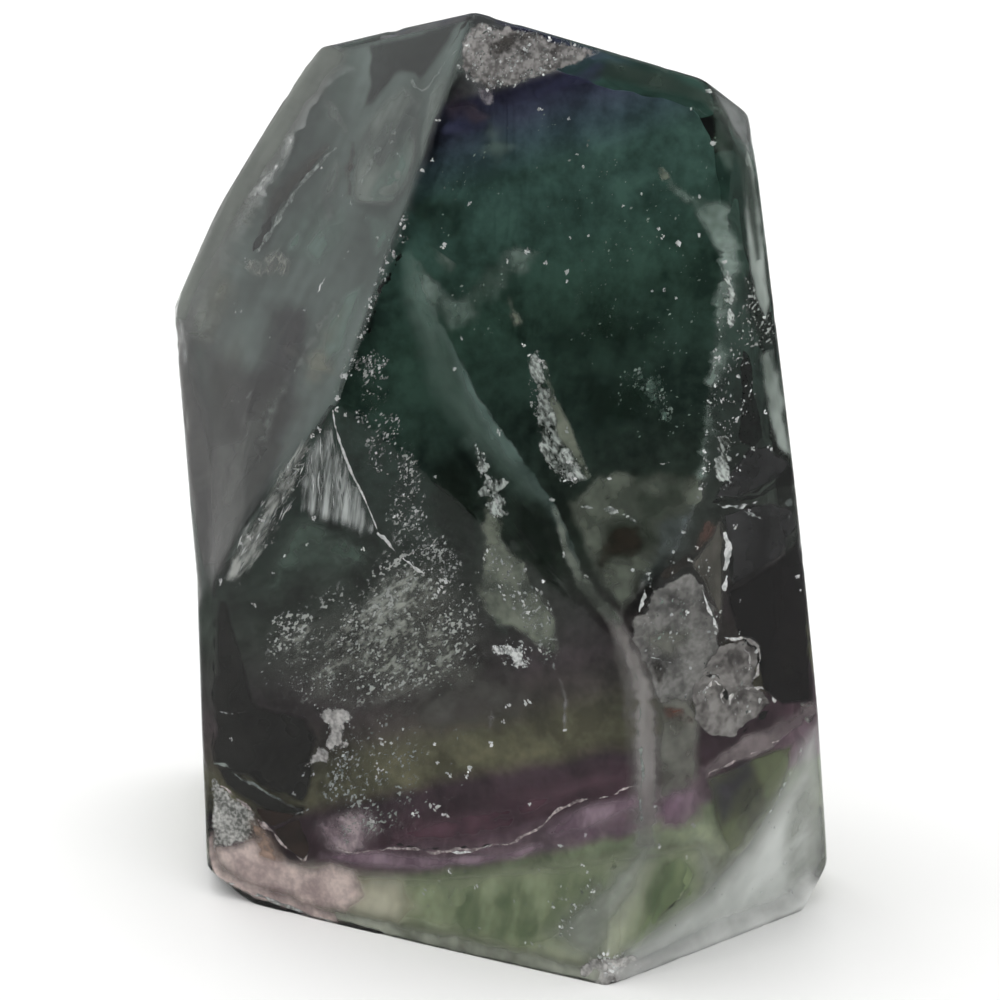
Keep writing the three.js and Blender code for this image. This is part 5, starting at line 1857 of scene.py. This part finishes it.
@dataclass(frozen=True)
class BackFaces(Group):
    """The veils, the frost and the healed crack behind the back faces."""

    inlays: tuple[Inlay, ...] = (
        Sheet("back_haze", HAZE, (330, 560, 430, 520, 560, 560, 660, 640, 640, 740, 540, 790, 420, 730,
            340, 660), 1.4),
        Ribbon("back_veil", VEIL_AND_SHEEN, (340, 230, 372, 320, 420, 400, 470, 470, 540, 540, 600, 640),
            (1.6, 5.0, 2.4), 1.6, wander=0.15, uneven=0.2, keen=(1.0, 5.0)),
        Ribbon("back_veil_two", VEIL_GREEN, (560, 330, 600, 400, 650, 470, 700, 560, 730, 640),
            (0.8, 2.6, 1.2), 1.2, wander=0.3),
        Ribbon("back_crack", SILVER, (470, 300, 484, 340, 478, 380, 500, 430, 512, 470), (0.4, 1.6, 0.8),
            0.7, rumple=0.3, wander=0.4, uneven=0.6),
        Flakes("back_crack_grains", SCALE, (458, 290, 496, 300, 524, 470, 500, 490, 464, 400), 300,
            (0.08, 0.45), (0.2, 0.6), (-0.05, 1.6), Leaves(-20)),
        Sheet("back_slab", GREY_GREEN, (396, 600, 440, 584, 470, 640, 484, 720, 450, 742, 412, 700), 0.8,
            fray=0.5),
        Flakes("back_drift", DULL_SCALE, (330, 580, 430, 520, 570, 560, 670, 650, 640, 750, 540, 800,
            420, 740, 340, 670), 1900, (0.06, 0.4), (0.2, 1.1), (0.06, 3.0), Leaves(-50, 26, 2.4, 1.6)),
        Flakes("back_drift_bright", SCALE, (420, 540, 520, 560, 600, 640, 560, 720, 470, 680), 520,
            (0.06, 0.42), (0.2, 0.6), (0.1, 2.0), Leaves(-50, 26, 2.4, 2.0)),
        Ribbon("back_band_line", ROSE_LINE, (182, 800, 220, 850, 270, 900, 330, 930, 400, 956, 470, 984),
            (0.1, 0.2, 0.12), 0.4, wander=0.3, uneven=0.7),
        Sheet("back_foot_fog", SMEAR, (176, 850, 214, 880, 250, 930, 268, 984, 214, 988, 166, 940), 0.6),
        Flakes("back_foot_grains", SCALE, (190, 860, 260, 920, 420, 975, 420, 992, 200, 985), 260,
            (0.08, 0.45), (0.2, 0.9), (0.1, 3.0), Leaves(20, 30, 2.4)),
        Ribbon("back_thread", THREAD, (610, 680, 640, 720, 652, 770, 690, 820), (0.1, 0.3, 0.1), 0.5,
            wander=0.2, uneven=0.8),
        Specks("back_dust", SCALE, (300, 180, 0.4, 336, 260, 0.5, 420, 330, 0.35, 540, 300, 0.5,
            590, 350, 0.3, 640, 420, 0.45, 380, 440, 0.4, 520, 420, 0.35, 700, 500, 0.5, 660, 560, 0.35,
            320, 520, 0.45, 560, 240, 0.3, 700, 700, 0.5, 620, 820, 0.45, 520, 860, 0.4, 430, 840, 0.5,
            350, 760, 0.35, 240, 560, 0.4)))


@dataclass(frozen=True)
class FlankFaces(Group):
    """The veils, the frost and the healed crack behind the right side."""

    inlays: tuple[Inlay, ...] = (
        Sheet("flank_haze", HAZE, (440, 540, 560, 500, 700, 560, 770, 640, 740, 720, 600, 720, 480, 660),
            1.2),
        Ribbon("flank_veil", VEIL_AND_SHEEN, (540, 250, 560, 330, 600, 420, 650, 500, 730, 590), (1.4, 4.4, 2.0), 1.2,
            wander=0.15, uneven=0.2, keen=(1.0, 5.0)),
        Ribbon("flank_wisp", VEIL_GREEN, (700, 300, 716, 360, 708, 430, 724, 500), (0.8, 2.0, 0.8), 1.0,
            wander=0.3),
        Ribbon("flank_crack", SILVER, (476, 400, 492, 440, 486, 490, 504, 540, 500, 580), (0.4, 1.5, 0.6),
            0.6, rumple=0.3, wander=0.4, uneven=0.6),
        Flakes("flank_crack_grains", SCALE, (464, 390, 500, 400, 520, 580, 496, 600, 472, 500), 260,
            (0.08, 0.45), (0.2, 0.6), (-0.05, 1.6), Leaves(-20)),
        Flakes("flank_drift", DULL_SCALE, (440, 540, 560, 510, 700, 570, 770, 650, 730, 720, 600, 710,
            480, 660), 1300, (0.06, 0.4), (0.2, 1.0), (0.08, 3.0), Leaves(55, 26, 2.4, 1.6)),
        Ribbon("flank_band_line", ROSE_LINE, (400, 806, 470, 818, 560, 836, 650, 852, 730, 870, 796, 886),
            (0.1, 0.2, 0.12), 0.4, wander=0.3, uneven=0.7),
        Sheet("flank_foot_fog", SMEAR, (430, 900, 480, 920, 540, 960, 560, 990, 490, 990, 452, 950), 0.6),
        Flakes("flank_foot_grains", SCALE, (440, 860, 600, 890, 780, 930, 760, 960, 640, 985, 480, 980), 320,
            (0.08, 0.45), (0.2, 0.9), (0.1, 3.0), Leaves(20, 30, 2.4)),
        Specks("flank_dust", SCALE, (540, 220, 0.4, 600, 300, 0.5, 650, 360, 0.35, 560, 460, 0.5,
            720, 460, 0.35, 460, 340, 0.4, 640, 620, 0.45, 520, 640, 0.4, 430, 700, 0.5, 740, 780, 0.4,
            600, 770, 0.35, 760, 520, 0.4)))


@dataclass
class StoneSkin:
    """The stone's own surface, meshed finely enough for its eased ridges.

    Attributes:
        form: The stone's form.
        step: Millimetres between points along a ridge.
        rings: Millimetres inwards from a flat's rim to each ring of points.
    """

    form: StoneForm
    step: float = 0.4
    rings: tuple[float, ...] = (0.0, 0.12, 0.25, 0.4, 0.6, 0.9, 1.4, 2.2, 3.4, 5.0, 7.0, 9.5, 12.5)

    def patch(self, number: int) -> tuple[Array, Array]:
        """One flat as a surface of two parameters: round its rim, and from its rim to its middle.

        A point is the middle plus a share of the way to the rim. The shares are spaced so that
        the rings crowd at the rim, where the ridges turn.

        Args:
            number: The flat's place in the cutting list.

        Returns:
            The points, in millimetres, and the faces.
        """
        corners = self.form.outline(number)
        rim = walk_round(corners, self.step, np.ceil)
        middle = corners.mean(0)
        radius = np.linalg.norm(corners - middle, axis=1).mean()
        insets = np.array([inset for inset in self.rings if inset < 0.8 * radius])
        shares = 1 - insets / radius
        around = middle + shares[:, None, None] * (rim - middle)
        points = np.concatenate([around.reshape(-1, 3), middle[None]])
        return points, disc_faces(len(insets), len(rim))

    def build(self) -> bpy.types.Object:
        """Joins the patches of all flats into one closed skin.

        Returns:
            The piece.
        """
        points, faces, count = [], [], 0
        for number in range(len(self.form.reaches)):
            own_points, own_faces = self.patch(number)
            points.append(own_points)
            faces.append(own_faces + count)
            count += len(own_points)
        every = np.concatenate(points)
        _, first, back = np.unique(every.round(3), axis=0, return_index=True, return_inverse=True)
        joined = back.reshape(-1)[np.concatenate(faces)]
        whole = joined[(joined != np.roll(joined, 1, axis=1)).all(1)]
        skin = mesh_object("stone_skin", self.form.polished(every[first]) * MM, whole)
        dress(skin, PolishedFluorite().material())
        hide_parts(STONE_NODE)
        return skin


@dataclass
class StoneHeart:
    """The clouded, banded stone under the clear outer layer.

    Attributes:
        form: The stone's form.
        shallow: Millimetres of clear stone over it at the foot and the top.
        deep: How many more millimetres of clear stone lie over it at the middle of the front.
        lump: How far, in millimetres, its clouds bulge and sink.
        sharpness: How crisp its ridges are, per millimetre.
        height: How high, in millimetres, the clear stone over it swells and thins out again.
        centre: The point inside it that its surface is measured from.
        farthest: A length in millimetres that reaches past its surface in every direction.
        halvings: How many times that length is halved to find the surface.
        grid: How many rows and columns of points it has.
    """

    form: StoneForm
    shallow: float = 2.3
    deep: float = 3.9
    lump: float = 0.6
    sharpness: float = 1.2
    height: float = 74.0
    centre: Triple = (1.0, -1.5, 33.0)
    farthest: float = 60.0
    halvings: int = 22
    grid: tuple[int, int] = (150, 240)

    def gap(self, points: Array) -> Array:
        """How far points stand outside the heart.

        It is their distance from the stone's surface, plus the clear stone's thickness there and
        the clouds' bulges.

        Args:
            points: One row of x, y, z in millimetres for each point.

        Returns:
            Millimetres for each point, below zero inside.
        """
        height = np.clip(points[:, 2] / self.height, 0.0, 1.0)
        gap, slope, _ = self.form.gap_and_slope(points, self.sharpness)
        cover = self.shallow + self.deep * np.sin(math.pi * height) ** 2 * slope[:, 1] ** 4
        return gap + cover + self.lump * Rumple(21, 9.0, 4).at(points)

    def build(self) -> bpy.types.Object:
        """Makes the heart as a distance from its centre for each turn and rise.

        The distance is found by halving: the surface lies between a point inside and one outside.

        Returns:
            The piece.
        """
        rows, columns = self.grid
        rise = np.linspace(-math.pi / 2, math.pi / 2, rows + 2)[1:-1]
        turn = np.linspace(0.0, 2 * math.pi, columns, endpoint=False)
        rise, turn = (axis.reshape(-1) for axis in np.meshgrid(rise, turn, indexing="ij"))
        ways = np.column_stack([np.cos(rise) * np.cos(turn), np.cos(rise) * np.sin(turn), np.sin(rise)])
        ways = np.concatenate([ways, [[0, 0, -1], [0, 0, 1]]])
        middle = np.array(self.centre)
        near, far = np.zeros(len(ways)), np.full(len(ways), self.farthest)
        for _ in range(self.halvings):
            half = (near + far) / 2
            outside = self.gap(middle + half[:, None] * ways) > 0
            near, far = np.where(outside, near, half), np.where(outside, half, far)
        points = middle + near[:, None] * ways
        ring = np.arange(columns)
        after = np.roll(ring, -1)
        bottom, top, last = rows * columns, rows * columns + 1, (rows - 1) * columns
        low = np.stack([after, ring, np.full(columns, bottom)], -1)
        high = np.stack([last + ring, last + after, np.full(columns, top)], -1)
        faces = np.concatenate([halved(grid_faces(rows, columns, closed=True)), low, high])
        return dress(mesh_object("banded_heart", points * MM, faces), GrowthBands().material())


@dataclass
class Studio:
    """The pale floor, the soft lights and the camera.

    Attributes:
        eye: Where the camera stands.
        walls: How bright the room's walls are.
        doorway: The direction of the dark doorway, seen from the stone.
    """

    eye: Eye
    walls: float = 0.9
    doorway: Triple = (-0.55, -0.80, 0.24)

    def camera(self) -> None:
        """Stands the camera where the eye is."""
        data = bpy.data.cameras.new("camera")
        data.lens, data.sensor_width = self.eye.lens
        data.clip_start = 0.01
        made = bpy.data.objects.new("camera", data)
        bpy.context.scene.collection.objects.link(made)
        made.location = Vector(self.eye.place()) * MM
        made.rotation_euler = (math.radians(90 - self.eye.fall), 0.0, math.radians(self.eye.turn))
        bpy.context.scene.camera = made

    def floor(self) -> None:
        """Lays a wide matt floor under the stone."""
        side = 4.0
        points = np.array([[-side, -side, 0], [side, -side, 0], [side, side, 0], [-side, side, 0]], float)
        floor = mesh_object("floor", points, np.array([[0, 1, 2, 3]]))
        # Uncoated paper: no shine, so it shows the stone's soft shadow and nothing else.
        made, tree = blank_material("matt_paper")
        paper = add_node(tree, "ShaderNodeBsdfPrincipled", {
            "Base Color": linear("f4f4f3"), "Roughness": 0.9})
        add_node(tree, "ShaderNodeOutputMaterial", {"Surface": paper})
        floor.data.materials.append(made)

    def lamp(self, name: str, place: Triple, size: Pair, watts: float, colour: str,
             mirrored: bool = True) -> None:
        """Hangs one soft box that faces the stone.

        Args:
            name: The lamp's name.
            place: Its middle, in millimetres.
            size: Its width and height, in millimetres.
            watts: Its power.
            colour: Its colour.
            mirrored: Whether polished faces mirror it.
        """
        data = bpy.data.lights.new(name, "AREA")
        data.shape = "RECTANGLE"
        data.size, data.size_y = size[0] * MM, size[1] * MM
        data.energy = watts
        data.color = linear(colour)[:3]
        box = bpy.data.objects.new(name, data)
        box.visible_glossy = mirrored
        bpy.context.scene.collection.objects.link(box)
        box.location = Vector(place) * MM
        aim = Vector(self.eye.aim) * MM
        box.rotation_euler = (aim - box.location).to_track_quat("-Z", "Y").to_euler()

    def room(self) -> None:
        """A pale room with one dark doorway, which the crown's front face mirrors."""
        world = bpy.data.worlds.new("room")
        bpy.context.scene.world = world
        world.use_nodes = True
        tree = world.node_tree
        tree.nodes.clear()
        way = add_node(tree, "ShaderNodeTexCoord").outputs["Generated"]
        near = add_node(tree, "ShaderNodeVectorMath", {0: way, 1: self.doorway}, operation="DOT_PRODUCT")
        shade = add_node(tree, "ShaderNodeMapRange", {
            "Value": near.outputs["Value"], "From Min": 0.75, "From Max": 0.96, "To Min": self.walls,
            "To Max": 0.08}, interpolation_type="SMOOTHSTEP").outputs[0]
        glow = add_node(tree, "ShaderNodeBackground", {"Color": (1.0, 1.0, 1.0, 1.0), "Strength": shade})
        add_node(tree, "ShaderNodeOutputWorld", {"Surface": glow.outputs[0]})

    def build(self) -> None:
        """Makes the whole studio."""
        bpy.context.scene.view_settings.view_transform = "Standard"
        self.camera()
        self.floor()
        self.room()
        self.lamp("sky_box", (-160, 60, 760), (1100, 1100), 4.5, "ffffff")
        self.lamp("left_box", (-620, 420, 130), (520, 420), 0.1, "f6faff")
        self.lamp("front_box", (250, -700, 60), (900, 100), 1.5, "ffffff", mirrored=False)


def main() -> None:
    """Builds the studio and the stone, in order, and reports each piece."""
    logging.basicConfig(level=logging.INFO, format="%(name)s: %(message)s")
    eye = Eye()
    Studio(eye).build()
    form = StoneForm()
    pieces = [StoneSkin(form).build(), StoneHeart(form).build()]
    sights = (
        (eye, (CrownLeft(), CapFrost(), CrownFront(), Comb(), FrostDrift(), LowerLeft(), FootBands(),
               RightBreak(), RightEdge(), RidgeHighlights())),
        (Eye(turn=190.0, fall=12.0), (BackFaces(),)),
        (Eye(turn=225.0, fall=12.0, aim=(0.5, -2.0, 30.0)), (HeelBack(),)),
        (Eye(turn=120.0, fall=6.0, aim=(0.5, -2.0, 30.0)), (HeelRight(),)),
        (Eye(turn=105.0, fall=12.0), (FlankFaces(),)))
    for onlooker, groups in sights:
        for group in groups:
            pieces += group.build(Sighting(form, onlooker))
    for piece in pieces:
        log.info("%s: %d faces", piece.name, len(piece.data.polygons))


if __name__ == "__main__":
    main()
